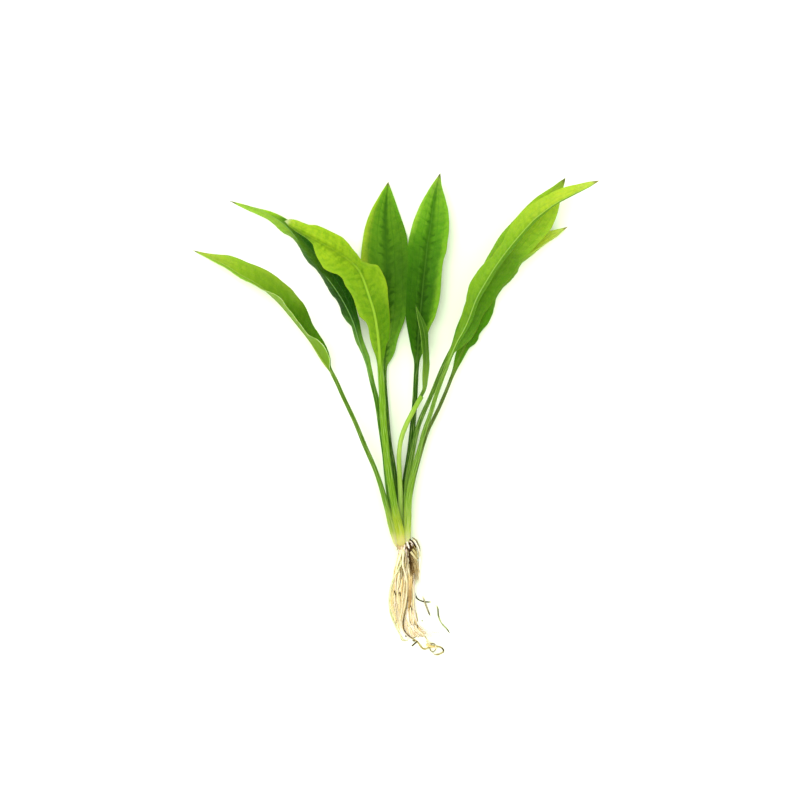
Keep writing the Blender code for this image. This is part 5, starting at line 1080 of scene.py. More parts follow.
def root_finish(name, pale, deep, scar, dark=0.0, shine=0.25, reach=0.0006, gloss=0.12, mark="#38200C"):
    """Root skin: cloudy tints along the root, stained patches, fine rings.  A
    stain_and_glare value below 0 paints the skin near white: a painted
    highlight on the wire and the arching root, paler skin elsewhere."""
    g = Graph(name)
    turn, run, part = g.field("root_a")
    seed, thick, stain_and_glare = g.field("root_b")
    where = g.point(g.math("MULTIPLY", turn, 1.2), g.math("MULTIPLY", run, 0.22), g.math("MULTIPLY", seed, 7.31))
    cloud = g.noise(where, 1.0, 3.0, 0.6)
    fine = g.noise(g.point(g.math("MULTIPLY", turn, 3.0), g.math("MULTIPLY", run, 1.6), seed), 1.0, 3.0, 0.6)
    tint = g.mix(g.between(cloud, 0.40, 0.66), pale, deep)
    spots = g.between(g.noise(g.point(turn, g.math("MULTIPLY", run, 0.5), g.math("MULTIPLY", seed, 3.7)), 0.9, 3.0, 0.65), 0.60, 0.72, 0.0, 0.8)
    tint = g.mix(g.math("MULTIPLY", spots, 0.55 + dark), tint, scar)
    tint = g.mix(g.between(fine, 0.45, 0.8, 0.0, 0.3), tint, scar)
    tint = g.mix(g.between(part, 0.93, 1.0, 0.0, 0.35), tint, scar)
    tint = g.mix(g.math("MULTIPLY", g.math("MAXIMUM", stain_and_glare, 0.0), g.between(fine, 0.2, 0.5, 0.7, 1.0)), tint, paint(mark))
    # near white below 0: a painted highlight on the wire and the arching root, paler skin elsewhere
    tint = g.mix(g.math("MAXIMUM", g.math("MULTIPLY", stain_and_glare, -1.0), 0.0), tint, paint("#FFFDF0", 0.9))
    g.set("Base Color", tint)
    g.set("Roughness", g.between(fine, 0.3, 0.7, 0.38, 0.6))
    g.shader.inputs["Specular IOR Level"].default_value = gloss
    g.shader.inputs["Subsurface Weight"].default_value = shine
    g.shader.inputs["Subsurface Radius"].default_value = (1.0, 0.9, 0.6)
    g.shader.inputs["Subsurface Scale"].default_value = reach
    g.set("Normal", g.bump(g.math("ADD", fine, g.math("MULTIPLY", cloud, 0.5)), 0.5, 0.00018))
    return g.made


def crown_finish():
    """The short stem: brown, ringed with old leaf scars, pale where fresh."""
    g = Graph("crown_bark")
    x, y, z = g.field("root_a")
    where = g.point(x, y, z)
    lump = g.noise(where, 0.5, 4.0, 0.6)
    ring = g.noise(g.point(g.math("MULTIPLY", x, 0.5), g.math("MULTIPLY", y, 2.6), g.math("MULTIPLY", z, 0.5)), 0.9, 3.0, 0.6)
    fine = g.noise(where, 3.2, 4.0, 0.65)
    dark = g.ramp(lump, [(0.30, paint("#241405")), (0.46, paint("#4A2E10")), (0.60, paint("#7E5A28")), (0.74, paint("#C8A868"))])
    fresh = g.ramp(lump, [(0.30, paint("#C08C48", 0.8)), (0.50, paint("#E6C890", 0.8)), (0.70, paint("#F8EAC0", 0.8))])
    tint = g.mix(g.between(g.math("MULTIPLY_ADD", lump, 2.4, x), -0.2, 2.2), fresh, dark)
    tint = g.mix(g.between(ring, 0.46, 0.66, 0.0, 0.5), tint, g.mix(1.0, tint, (0.45, 0.35, 0.25), "MULTIPLY"))
    tint = g.mix(g.between(fine, 0.54, 0.74, 0.0, 0.4), tint, paint("#C9A868"))
    g.set("Base Color", tint)
    g.set("Roughness", g.between(fine, 0.3, 0.7, 0.55, 0.85))
    g.shader.inputs["Specular IOR Level"].default_value = 0.1
    g.set("Normal", g.bump(g.math("ADD", fine, ring), 0.8, 0.00035))
    return g.made


# ---------------------------------------------------------------------- roots
def root_data(n, sides, run, seed, radii, stain_and_glare=None, ends=2):
    """The named vectors of a swept root: turn, run and part, then seed, radius
    and stain_and_glare: stains, and near-white paint that is partly painted highlight."""
    angle = np.repeat(np.sin(2 * math.pi * np.arange(sides) / sides)[None, :], n, 0)
    run_all = np.repeat(np.asarray(run)[:, None], sides, 1)
    part = run_all / max(run[-1], 1e-6)
    one = np.stack([angle, run_all, part], axis=-1)
    stain_and_glare = np.zeros(n) if stain_and_glare is None else np.asarray(stain_and_glare)
    two = np.stack([np.full((n, sides), float(seed)), np.repeat(np.asarray(radii)[:, None], sides, 1), np.repeat(stain_and_glare[:, None], sides, 1)], axis=-1)
    out = []
    for field in (one, two):
        out.append(np.vstack([field.reshape(-1, 3), field[0].mean(axis=0), field[-1].mean(axis=0)]))
    return out


def smooth_route(points, spacing):
    """A route in mm drawn through the points again, spacing mm apart."""
    points = np.asarray(points, float)
    run = np.concatenate([[0], np.cumsum(np.linalg.norm(np.diff(points, axis=0), axis=1))])
    keep = np.concatenate([[True], np.diff(run) > 1e-6])
    points, run = points[keep], run[keep]
    n = len(points)
    h = np.diff(run)
    slope = np.zeros_like(points)
    slope[1:-1] = (points[2:] - points[:-2]) / (run[2:] - run[:-2])[:, None]
    slope[0], slope[-1] = (points[1] - points[0]) / h[0], (points[-1] - points[-2]) / h[-1]
    t = np.linspace(0, run[-1], max(4, int(run[-1] / spacing) + 1))
    i = np.clip(np.searchsorted(run, t, side="right") - 1, 0, n - 2)
    u, w = ((t - run[i]) / h[i])[:, None], h[i][:, None]
    out = (points[i] * (1 + 2 * u) * (1 - u) ** 2 + slope[i] * w * u * (1 - u) ** 2
           + points[i + 1] * u * u * (3 - 2 * u) + slope[i + 1] * w * u * u * (u - 1))
    return out, t


def into_crown(route, reach=1.0):
    """Points that carry a root's start on into the crown, in mm."""
    start = route[0]
    heart = chart_mm((CROWN_MID[0] + 0.70 * ((start[0] - SHIFT[0]) / CHART + CHART_MID[0] - CROWN_MID[0]), CROWN_MID[1] + 0.8, CROWN_MID[2] + 0.6 * (start[2] - CROWN_MID[2])))
    way = route[0] - route[min(2, len(route) - 1)]
    way /= np.linalg.norm(way) + 1e-9
    turn = start + way * 0.45 * np.linalg.norm(heart - start)
    q = np.linspace(1, 0, 5, endpoint=False)[:, None]
    return (1 - q) ** 2 * start + 2 * q * (1 - q) * turn + q * q * heart


def fine_root(name, points, radii, number, finish, dark=()):
    """One main root: a smooth, slightly lumpy tube with a fine tip.  dark lists
    stained and near-white stretches, the near-white ones on the wire and the
    arching root painted highlights: chart x, y where each starts and ends, and how much."""
    route = chart_mm(points)
    points = np.asarray(points, float)
    lead = into_crown(route)
    radii = np.concatenate([np.full(len(lead), radii[0] * 1.12), radii])
    route = np.vstack([lead, route])
    fine, run = smooth_route(route, 0.36)
    old = np.concatenate([[0], np.cumsum(np.linalg.norm(np.diff(route, axis=0), axis=1))])
    radius = np.interp(run, old, radii)
    part = run / run[-1]
    radius = radius * (1 + 0.10 * wander(np.stack([run / 1.9, 0 * run + number, 0 * run], axis=-1), number + 0.1))
    radius = radius * (0.35 + 0.65 * ease((1 - part) * run[-1] / 1.6))

    def along_root(x, y):
        return old[len(lead) + int(np.argmin((points[:, 0] - x) ** 2 + (points[:, 1] - y) ** 2))]

    for x0, y0, x1, y1, much in GIRTH.get(name.replace("_skin", ""), ()):
        one, two = along_root(x0, y0), along_root(x1, y1)
        radius = radius * (1 + (much - 1) * ease((run - one) / 4 + 0.5) * ease((two - run) / 4 + (2.0 if two > run[-1] - 1 else 0.5)))
    LAID.append((fine, radius))
    sides = 12
    rings = sweep(fine, radius, sides, number, 0.07)
    rings[..., 2] = np.maximum(rings[..., 2], 0.01)
    tip = fine[-1] + (fine[-1] - fine[-2]) * 0.6
    tip[2] = max(tip[2], 0.05)
    verts, faces = close_rings(rings, tip=tip)
    stain_and_glare = np.zeros(len(run))
    for x0, y0, x1, y1, much in dark:
        ends = (along_root(x0, y0), along_root(x1, y1))
        band = ease((run - ends[0]) / 2.5 + 0.5) * ease((ends[1] - run) / 2.5 + (1.5 if ends[1] > run[-1] - 1 else 0.5))
        stain_and_glare = stain_and_glare + (much - stain_and_glare) * band
    one, two = root_data(len(run), sides, run, number, radius, stain_and_glare)
    return add_piece(name, in_metres(verts), faces, {"root_a": one, "root_b": two}, finish, (name.replace("_skin", ""),))


def join_tubes(name, tubes, finish):
    """Many thin closed tubes as one mesh piece.  Each is (route in mm, radii in
    mm, sides, seed, stain_and_glare)."""
    verts, faces, ones, twos, at = [], [], [], [], 0
    for route, radii, sides, seed, stain_and_glare in tubes:
        route = np.asarray(route, float)
        rings = sweep(route, radii, sides, seed, 0.0)
        rings[..., 2] = np.maximum(rings[..., 2], 0.01)
        tip = route[-1] + (route[-1] - route[-2]) * 0.5
        tip[2] = max(tip[2], 0.03)
        v, f = close_rings(rings, tip=tip)
        run = np.concatenate([[0], np.cumsum(np.linalg.norm(np.diff(route, axis=0), axis=1))])
        one, two = root_data(len(route), sides, run, seed, radii, np.interp(run / run[-1], np.linspace(0, 1, np.size(stain_and_glare)), np.ravel(stain_and_glare)))
        verts.append(v)
        faces += [tuple(at + q for q in face) for face in f]
        ones.append(one)
        twos.append(two)
        at += len(v)
    return add_piece(name, in_metres(np.vstack(verts)), faces, {"root_a": np.vstack(ones), "root_b": np.vstack(twos)}, finish)


# ---------------------------------------------------------------- the pieces
def build_leaves():
    for number, (node, spec) in enumerate(LEAVES.items()):
        verts, faces, data, maps = fine_leaf(node, spec, number + 1)
        finish = leaf_finish(node + "_green", TONES[node], bool(spec.get("rib_up", 0)))
        add_piece(node + "_skin", verts, faces, data, finish, (node,), maps)


def build_cut_stalk():
    table = np.asarray(CUT_STALK, float)
    curve = smooth_curve(table)
    line = curve(np.linspace(0, 1, 200))
    base = line[0]
    lead = []
    for q in np.linspace(1, 0, 6, endpoint=False):
        goal = np.array([CROWN_MID[0] - 1.0, CROWN_MID[1] + 0.8, CROWN_MID[2] + 0.6, 0.8, 0.6])
        lead.append(base * (1 - q) + goal * q)
    line = np.vstack([np.asarray(lead), line])
    mm = chart_mm(line[:, :3])
    run = np.concatenate([[0], np.cumsum(np.linalg.norm(np.diff(mm, axis=0), axis=1))])
    flat = np.gradient(mm[:, :2], axis=0)
    flat /= np.linalg.norm(flat, axis=1, keepdims=True)
    sides = 40
    angle = math.pi - 2 * math.pi * np.arange(sides) / sides
    ridge = 1 + 0.03 * np.cos(9 * angle) + 0.015 * np.cos(23 * angle + 1)
    wobble = 1 + 0.03 * wander(np.stack([run / 6, 0 * run, 0 * run], -1), 21.0)
    rings = np.stack([
        mm[:, 0:1] - flat[:, 1:2] * -1 * np.cos(angle) * ridge * (line[:, 3] * wobble)[:, None],
        mm[:, 1:2] + flat[:, 0:1] * -1 * np.cos(angle) * ridge * (line[:, 3] * wobble)[:, None],
        mm[:, 2:3] + np.sin(angle) * ridge * (line[:, 4] * wobble)[:, None]], axis=-1)
    # the cut: a slightly rounded rim and a dished, slanting face
    end, ahead = rings[-1], np.array([flat[-1, 0], flat[-1, 1], 0.10])
    extra = []
    for inward, forward in ((0.985, 0.05), (0.95, 0.11), (0.88, 0.13), (0.74, 0.09), (0.5, 0.02), (0.25, -0.02)):
        slant = 0.16 * np.cos(angle)[:, None]
        extra.append(mm[-1] + (end - mm[-1]) * inward + ahead * (forward - slant * 0.9 * inward))
    rings = np.concatenate([rings, np.asarray(extra)], axis=0)
    run = np.concatenate([run, run[-1] + np.array([0.05, 0.11, 0.15, 0.2, 0.3, 0.4])])
    n = len(run)
    verts, faces = close_rings(rings, tip=mm[-1] + ahead * -0.04)
    turn = np.repeat(np.sin(angle)[None, :] + 0.6 * np.cos(angle)[None, :], n, 0)
    cut = np.zeros(n)
    cut[-6:] = [0.2, 0.7, 1, 1, 0.9, 0.8]
    field = np.stack([turn, np.repeat(run[:, None], sides, 1), np.repeat(cut[:, None], sides, 1)], -1)
    data = {"root_a": np.vstack([field.reshape(-1, 3), field[0].mean(0), field[-1].mean(0)])}
    add_piece("cut_stalk_skin", in_metres(verts), faces, data, cut_finish(), ("cut_stalk",))


def build_crown():
    middle = chart_mm(CROWN_MID)
    rows, cols = 46, 64
    lat = np.linspace(0.02, math.pi - 0.02, rows)[:, None]
    lon = np.linspace(0, 2 * math.pi, cols, endpoint=False)[None, :]
    unit = np.stack([np.sin(lat) * np.cos(lon), -np.cos(lat) + 0 * lon, np.sin(lat) * np.sin(lon)], axis=-1)
    shape = np.sign(unit) * np.abs(unit) ** 0.80
    size = np.asarray(CROWN_SIZE) * np.array([0.93, 0.97, 0.90])
    point = shape * size
    lumps = 0.42 * wander(point * 0.42, 3.1) + 0.20 * wander(point * 1.1, 5.2) + 0.07 * wander(point * 3.0, 8.4)
    rings = 0.10 * np.sin(point[..., 1] * 5.2 + 0.9 * wander(point * 0.5, 2.2))
    point = point + unit * (lumps + rings)[..., None]
    point = np.clip(point, -np.asarray(CROWN_SIZE) * 1.02, np.asarray(CROWN_SIZE) * 1.02)
    verts, faces = close_rings((middle + point)[:, ::-1])
    data = {"root_a": verts - middle}
    add_piece("crown_skin", in_metres(verts), faces, data, crown_finish(), ("crown",))


# Stained (above 0) and near-white (below 0) stretches of the main roots: chart x
# and y where each starts and ends, and how much.  The near-white middle of the
# wire and of the arching root is a painted highlight, where they are lit to white.
STAINS_AND_GLARE = {
    "root_brown_loop": ((406.6, 588, 405, 606, 0.25), (405, 606, 404, 618, 0.62), (404, 617, 404.5, 634, 0.92), (404.5, 634, 412, 638, 0.86), (440.4, 647.6, 442.6, 652.4, 1.0)),
    "root_wire": ((413.5, 590, 430.5, 602, 1.0), (431, 602.5, 436.4, 606, -0.95), (437.4, 607, 439, 617, 0.66), (441, 621, 446.4, 628.4, -0.08), (447.4, 630, 450, 634, 1.0)),
    "root_right_arch": ((411, 539, 418, 552, -0.5), (419.4, 556, 421.6, 596, -0.9), (422.4, 599, 430, 616, 0.6), (427.5, 610, 430.2, 616, 0.9)),
    "root_amber_ring": ((411, 556, 411.5, 575, -0.2), (413, 612, 422, 633.6, -0.3), (423.8, 635.6, 427, 639.6, 0.55), (431, 643.5, 435.3, 645.3, 0.75), (435.8, 648.4, 432, 651.8, 0.8)),
    "root_left_tan": ((399, 556, 396.5, 565, 0.25), (394, 592, 394, 597, 0.5)),
    "root_pink": ((409, 545, 411.6, 570, -0.3),),
    "root_centre_cream": ((400.5, 592, 401, 596, 0.55),),
    "root_left_cream": ((397.4, 580, 397.2, 584, 0.35),),
    "root_right_cream": ((410.4, 606, 411, 610, 0.6),),
    "root_olive": ((411, 550, 414, 562, 0.6), (414.8, 578, 415.3, 612, -0.75), (417, 624, 418, 627, 0.8)),
    "root_faint": ((413, 556, 414, 610, -0.3), (417, 622, 445, 636, -0.55)),
    "root_centre_pale": ((403, 552, 405, 572, -0.15),),
    "root_centre_ivory": ((407, 556, 406, 580, -0.2),),
}
BONE = 0.70     # roots reflect more than leaves do
# Stretches where a main root is thinner or stouter: ends as above, and how much.
GIRTH = {
    "root_brown_loop": ((404, 585, 412, 642, 0.78), (418, 643, 434.2, 654.8, 1.16)),
    "root_amber_ring": ((428, 641, 435.2, 645.2, 1.16), (435.8, 648.4, 430.4, 650, 0.8)),
    "root_wire": ((405, 560, 449, 633, 1.22), (437, 606, 449.6, 633, 1.3)),
    "root_right_arch": ((411, 539, 430, 616, 1.08), (425.4, 604, 430.2, 616, 1.35)),
}
LAID = []       # the roots that are laid so far: routes and radii in mm
# Roots whose lower ends keep to their own bends, and where that starts.
BENT_ENDS = {"root_brown_loop": (412, 637.5), "root_amber_ring": (416, 629), "root_wire": (413.5, 591),
             "root_right_arch": (419, 576), "root_faint": (415, 614), "root_outer_left": (396, 627)}


def bent_end(node, points):
    """A root's route whose lower end keeps to the root's own bends."""
    start = BENT_ENDS.get(node)
    if start is None:
        return points
    flat = np.asarray(ROOTS[node][0], float)
    fine = smooth_curve(np.column_stack([flat, np.zeros(len(flat))]))(np.linspace(0, 1, 600))
    run = np.concatenate([[0], np.cumsum(np.linalg.norm(np.diff(fine[:, :2], axis=0), axis=1))])
    at = np.linspace(0, run[-1], len(points))
    home = np.column_stack([np.interp(at, run, fine[:, 0]), np.interp(at, run, fine[:, 1])])
    nearest = int(np.argmin((points[:, 0] - start[0]) ** 2 + (points[:, 1] - start[1]) ** 2))
    out = np.array(points, float)
    out[:, :2] += ease((np.arange(len(points)) - nearest) / 5)[:, None] * (home - out[:, :2])
    out[:, 1] = np.minimum(out[:, 1], 654.6)
    return out


def build_roots():
    cream = root_finish("root_skin_cream", paint("#FFF6C8", BONE), paint("#F4E2A0", BONE), paint("#C8A054", BONE))
    amber = root_finish("root_skin_amber", paint("#F4DE9C", BONE), paint("#DDB060", BONE), paint("#9A6C2C", BONE))
    brown = root_finish("root_skin_brown", paint("#C09650"), paint("#8A6424"), paint("#462A08"), 0.2, 0.1, gloss=0.05, mark="#2A1804")
    olive = root_finish("root_skin_olive", paint("#DCCE8C", BONE), paint("#AE9A54", BONE), paint("#705420", BONE), 0.1, gloss=0.1, mark="#4A2C08")
    lime = root_finish("root_skin_lime", paint("#F4F6C4", BONE), paint("#D8DE92", BONE), paint("#A4A45C", BONE))
    tan = root_finish("root_skin_tan", paint("#FBF0C6", 0.86), paint("#E8D296", 0.86), paint("#B8965A", 0.86), 0.0, gloss=0.08, mark="#6A4A1C")
    green = root_finish("root_skin_green", paint("#CCD494"), paint("#98A45C"), paint("#5C6230"), 0.1, gloss=0.1)
    rose = root_finish("root_skin_rose", paint("#FFF0DC", BONE), paint("#F6DCB4", BONE), paint("#C89868", BONE))
    special = {"root_brown_loop": (olive, "root_brown"), "root_wire": (green, "root_brown"), "root_olive": (olive, "root_brown"),
               "root_amber_ring": (cream, "root_cream"), "root_left_tan": (amber, "root_cream"), "root_pink": (amber, "root_cream"),
               "root_faint": (rose, "root_cream"), "root_short": (amber, "root_cream"), "root_outer_left": (lime, "root_cream")}
    for number, (node, (points, radii)) in enumerate(zip(ROOTS, root_lines())):
        finish, slot = special.get(node, (cream, "root_cream"))
        fine_root(node + "_skin", bent_end(node, points), radii, number + 1, finish, STAINS_AND_GLARE.get(node, ()))
    # painted light: the fine roots lie in the shade under the main roots and are painted brighter than the main roots'
    # skins
    thin = (root_finish("root_skin_fine", paint("#FFF6C6", 0.93), paint("#F6EAAA", 0.93), paint("#D8BE74", 0.93)),
            root_finish("root_skin_fine_amber", paint("#F6DE98", 0.90), paint("#E0B868", 0.90), paint("#A07434", 0.90), mark="#8E5210"),
            root_finish("root_skin_fine_rose", paint("#FFF0D4", 0.93), paint("#F8E0B8", 0.93), paint("#D8AE7C", 0.93)))
    build_clump(tan)
    return thin, amber, brown, olive, rose


LEFT_SIDE = [(548, 399.5), (553, 398.6), (565, 395.6), (575, 393.0), (590, 390.6), (600, 390.2), (610, 391.2), (620, 394.0), (630, 398.4), (640, 403.0)]
RIGHT_SIDE = [(548, 412.0), (553, 412.6), (565, 413.4), (575, 413.0), (590, 413.0), (600, 413.2), (610, 413.6), (620, 415.6), (630, 421.0), (640, 428.0)]


def tube(points, radius, seed, stain_and_glare=0.0, thin=0.4, sides=7, spacing=0.6):
    """A short root or fibre through chart points, thinning towards its end."""
    route, run = smooth_route(chart_mm(np.asarray(points, float)), spacing)
    return route, radius * (1 - thin * (run / run[-1]) ** 1.3), sides, seed, stain_and_glare


def top_of_roots(x, y):
    """Height in mm of the roots' upper side at chart points, or of the table."""
    x, y = np.broadcast_arrays(np.asarray(x, float), np.asarray(y, float))
    spots = chart_mm(np.stack([x.ravel(), y.ravel(), np.full(x.size, 1.5)], -1))
    laid = np.vstack([np.column_stack([route[:, :3], radii]) for route, radii in LAID])
    best = np.zeros(len(spots))
    for start in range(0, len(spots), 400):
        block = spots[start:start + 400]
        near = (laid[None, :, 0] - block[:, :1]) ** 2 + (laid[None, :, 1] - block[:, 1:2]) ** 2 < (0.25 + laid[None, :, 3]) ** 2
        best[start:start + 400] = np.where(near, laid[None, :, 2] + laid[None, :, 3], 0.0).max(axis=1)
    return best.reshape(x.shape)


def build_clump(finish):
    """The clump of finest roots that fills the bundle: a low, streaky mass."""
    left, right = np.asarray(LEFT_SIDE, float), np.asarray(RIGHT_SIDE, float)
    y = np.arange(551.0, 640.0, 0.8)
    part = np.linspace(0, 1, 46)
    x0 = np.interp(y, left[:, 0], left[:, 1]) + 0.9 + 4.0 * ease((y - 622) / 16)
    x1 = np.interp(y, right[:, 0], right[:, 1]) - 0.9
    across = 0.5 - 0.5 * np.cos(math.pi * part)
    x = x0[:, None] * (1 - across) + x1[:, None] * across
    foot = (1.6 * np.sin(across * 9 + 1.0) + 1.3 * np.sin(across * 23 + 2.0) - 2.0)[None, :] * ease((y - 606) / 34)[:, None]
    foot = foot - 3.4 * ease((across - 0.45) / 0.35)[None, :] * ease((y - 618) / 20)[:, None]
    down = y[:, None] + foot
    high = top_of_roots(x, down)
    for turn in range(10):
        padded = np.pad(high, 1, mode="edge")
        high = (padded[:-2, 1:-1] + padded[2:, 1:-1] + padded[1:-1, :-2] + padded[1:-1, 2:] + 2 * high) / 6
    wide = (across - 0.5)[None, :] * 13
    run = (y - y[0])[:, None] * CHART
    flow = np.stack([wide * 1.5 + 0 * run, run / 8 + 0 * wide, 0 * run + 0 * wide], axis=-1)
    strands = 0.24 * wander(flow, 31.0) + 0.16 * wander(flow * np.array([2.3, 1.4, 1.0]), 33.0)
    side = np.clip(1 - np.abs(2 * across - 1)[None, :] ** 5, 0, 1) ** 0.5
    top = np.maximum(0.80 * high - 0.25 + strands, 0.25) * side * (0.08 + 0.92 * ease((640 - y) / 8))[:, None] + 0.06
    low = 0.02 + 0.45 * top * ease((580 - y) / 30)[:, None]
    upper = np.stack([x, down, top], axis=-1)
    under = np.stack([x, down, np.minimum(low, top - 0.04)], axis=-1)
    rings = chart_mm(np.concatenate([upper, under[:, -2:0:-1]], axis=1))
    verts, faces = close_rings(rings)
    stain_and_glare = (0.30 * ease((574 - y) / 18) + 0.08 * ease((600 - y) / 30) + 0.08 * ease((y - 618) / 8))[:, None] + 0 * x
    stain_and_glare = stain_and_glare - 0.55 * ease((0.42 - across) / 0.34)[None, :] * ease((y - 584) / 12)[:, None] + 0.16 * ease((across - 0.6) / 0.3)[None, :] * ease((612 - y) / 12)[:, None]
    stain_and_glare = np.concatenate([stain_and_glare, stain_and_glare[:, -2:0:-1]], axis=1)
    loop = np.concatenate([wide[0], wide[0, -2:0:-1]])
    n, c = rings.shape[:2]
    one = np.stack([np.tile(loop, (n, 1)), np.repeat(run, c, 1), 0.3 + np.zeros((n, c))], axis=-1)
    two = np.stack([np.full((n, c), 5.3), np.full((n, c), 0.4), stain_and_glare], axis=-1)
    data = {key: np.vstack([q.reshape(-1, 3), q[0].mean(axis=0), q[-1].mean(axis=0)]) for key, q in (("root_a", one), ("root_b", two))}
    add_piece("root_clump", in_metres(verts), faces, data, finish)


def build_fine_roots(thin, olive):
    """The many thin roots between the main ones."""
    rng = np.random.default_rng(41)
    wire = np.asarray([(406.9, 590, 2.4), (407.0, 597, 2.1), (406.6, 605, 1.9), (405.0, 613, 1.7), (403.6, 620, 1.6), (403.0, 628, 1.3), (404.2, 633, 1.1), (407.5, 636.5, 1.0), (412, 641, 0.9)])

    def under_wire(points):
        """Points pressed down where they pass the dark root."""
        points = np.array(points, float)
        near = np.abs(points[:, 0] - np.interp(points[:, 1], wire[:, 1], wire[:, 0]))
        low = np.interp(points[:, 1], wire[:, 1], wire[:, 2]) - 0.75
        push = ease((3.0 - near) / 1.6) * ease((points[:, 1] - 594) / 8.0)
        points[:, 2] = np.maximum(points[:, 2] - push * np.maximum(points[:, 2] - low, 0), 0.12)
        return points

    left, right = np.asarray(LEFT_SIDE, float), np.asarray(RIGHT_SIDE, float)
    groups = {"fine_roots_cream": [], "fine_roots_amber": [], "fine_roots_rose": []}
    kinds = list(groups)
    for number in range(44):
        middling = number % 3 == 0
        f0 = rng.uniform(0.03, 0.97)
        f1 = np.clip(f0 + rng.normal(0, 0.34), 0.02, 0.98)
        end = rng.uniform(584, 638) if not middling else rng.uniform(596, 634)
        y = np.arange(549.5, end, 1.6)
        part = (y - y[0]) / (end - y[0])
        f = f0 + (f1 - f0) * ease(part) + rng.uniform(-0.11, 0.11) * np.sin(part * rng.uniform(4, 10) + rng.uniform(0, 6))
        f = np.clip(f, 0.01, 0.99)
        x = np.interp(y, left[:, 0], left[:, 1]) * (1 - f) + np.interp(y, right[:, 0], right[:, 1]) * f
        x = x + rng.uniform(0.15, 0.6) * np.sin(y / rng.uniform(2.4, 7.0) + rng.uniform(0, 6))
        z0, z1 = rng.uniform(2.2, 8.4), rng.uniform(0.25, 4.2)
        z = z0 + (z1 - z0) * ease(part * 2.2) + 0.3 * np.sin(y / rng.uniform(4, 9) + rng.uniform(0, 6))
        z = np.maximum(z, 0.2)
        route = chart_mm(under_wire(np.stack([x, y, z], -1)))
        heart = chart_mm((CROWN_MID[0] + 0.8 * (x[0] - CROWN_MID[0]), CROWN_MID[1] + 0.6, CROWN_MID[2] + 0.7 * (z0 - CROWN_MID[2])))
        route, run = smooth_route(np.vstack([heart[None, :], route]), 0.75)
        thick = rng.uniform(0.32, 0.48) if middling else rng.uniform(0.15, 0.28)
        radii = thick * (1 - 0.58 * (run / run[-1]) ** 1.4)
        kind = kinds[int(rng.choice(3, p=(0.56, 0.24, 0.20)))]
        groups[kind].append((route, radii, 7 if middling else 6, number + 0.37, float(rng.choice((0.0, -0.1, 0.10)))))
    # the amber strands left of the wire
    for number in range(5):
        x = 409.2 + 0.52 * number
        points = [(x - 0.4, 572, 4.8), (x, 580, 5.0), (x + 0.3 * math.sin(number), 589, 5.3), (x - 0.1, 598, 4.6), (x - 0.5 + 0.1 * number, 605, 3.2), (x - 0.7 + 0.3 * number, 609, 1.6)]
        groups["fine_roots_amber"].append(tube(points, 0.40 - 0.02 * number, 400 + number, (0.0, 0.15, 0.45, 0.75, 0.6, 0.1), 0.5))
    # the fan that sweeps out to the right over the surface
    for number in range(22):
        x0, y0 = rng.uniform(401, 414), rng.uniform(600, 614)
        x1, y1 = (rng.uniform(412, 446), rng.uniform(628, 637)) if number % 2 else (rng.uniform(404, 428), rng.uniform(630, 641))
        q = np.linspace(0, 1, 24)
        far = x1 > 426
        y1 = max(y1, 632.5) if far else min(y1, 641 - 0.35 * max(0, x1 - 412))
        x = x0 + (x1 - x0) * q ** (2.7 if far else 1.7) + 0.7 * np.sin(q * rng.uniform(4, 9) + rng.uniform(0, 6))
        y = y0 + (y1 - y0) * (1 - (1 - q) ** 1.6) + 0.5 * np.sin(q * rng.uniform(4, 9))
        z = np.maximum(1.6 * (1 - q) + rng.uniform(0.15, 0.9), 0.15)
        route, run = smooth_route(chart_mm(under_wire(np.stack([x, y, z], -1))), 0.75)
        radii = rng.uniform(0.20, 0.40) * (1 - 0.6 * run / run[-1])
        kind = "fine_roots_rose" if far or number % 3 != 1 else "fine_roots_amber"
        groups[kind].append((route, radii, 6, 200 + number, -0.6 if far else (-0.3, 0.0, 0.12)[(number // 3) % 3]))
    # rootlets that leave the main ones sideways
    for number in range(56):
        y0 = rng.uniform(562, 630)
        f = rng.uniform(0.0, 1.0)
        x0 = np.interp(y0, left[:, 0], left[:, 1]) * (1 - f) + np.interp(y0, right[:, 0], right[:, 1]) * f
        way = rng.choice((-1.0, 1.0)) if 0.12 < f < 0.88 else (1.0 if f < 0.5 else -1.0)
        reach, drop = rng.uniform(2.0, 6.5), rng.uniform(3.0, 9.0)
        z0 = rng.uniform(1.6, 5.2) * (1 - 0.5 * (y0 - 560) / 70)
        q = np.linspace(0, 1, 8)
        x = x0 + way * reach * q + 0.5 * np.sin(q * rng.uniform(3, 8))
        y = y0 + drop * q ** 1.3
        points = np.stack([x, y, np.maximum(z0 + 0.4 * np.sin(math.pi * q) - 0.5 * q, 0.2)], -1)
        groups[kinds[number % 3]].append(tube(under_wire(points), rng.uniform(0.08, 0.17), 500 + number, float(rng.choice((0.0, -0.4, 0.2))), 0.6, 5))
    # the thick amber piece where the loop at the low right crosses itself
    groups[kinds[1]].append(tube([(426.6, 644.0, 0.9), (428.4, 645.4, 0.9), (430.4, 646.3, 1.0), (433.4, 646.8, 1.1), (437.0, 646.9, 1.0)], 0.74, 590, 0.0, 0.7, 10, 0.35))
    for (name, tubes), finish in zip(groups.items(), thin):
        join_tubes(name, tubes, finish)
        LAID.extend((route, np.asarray(radii)) for route, radii, *rest in tubes)
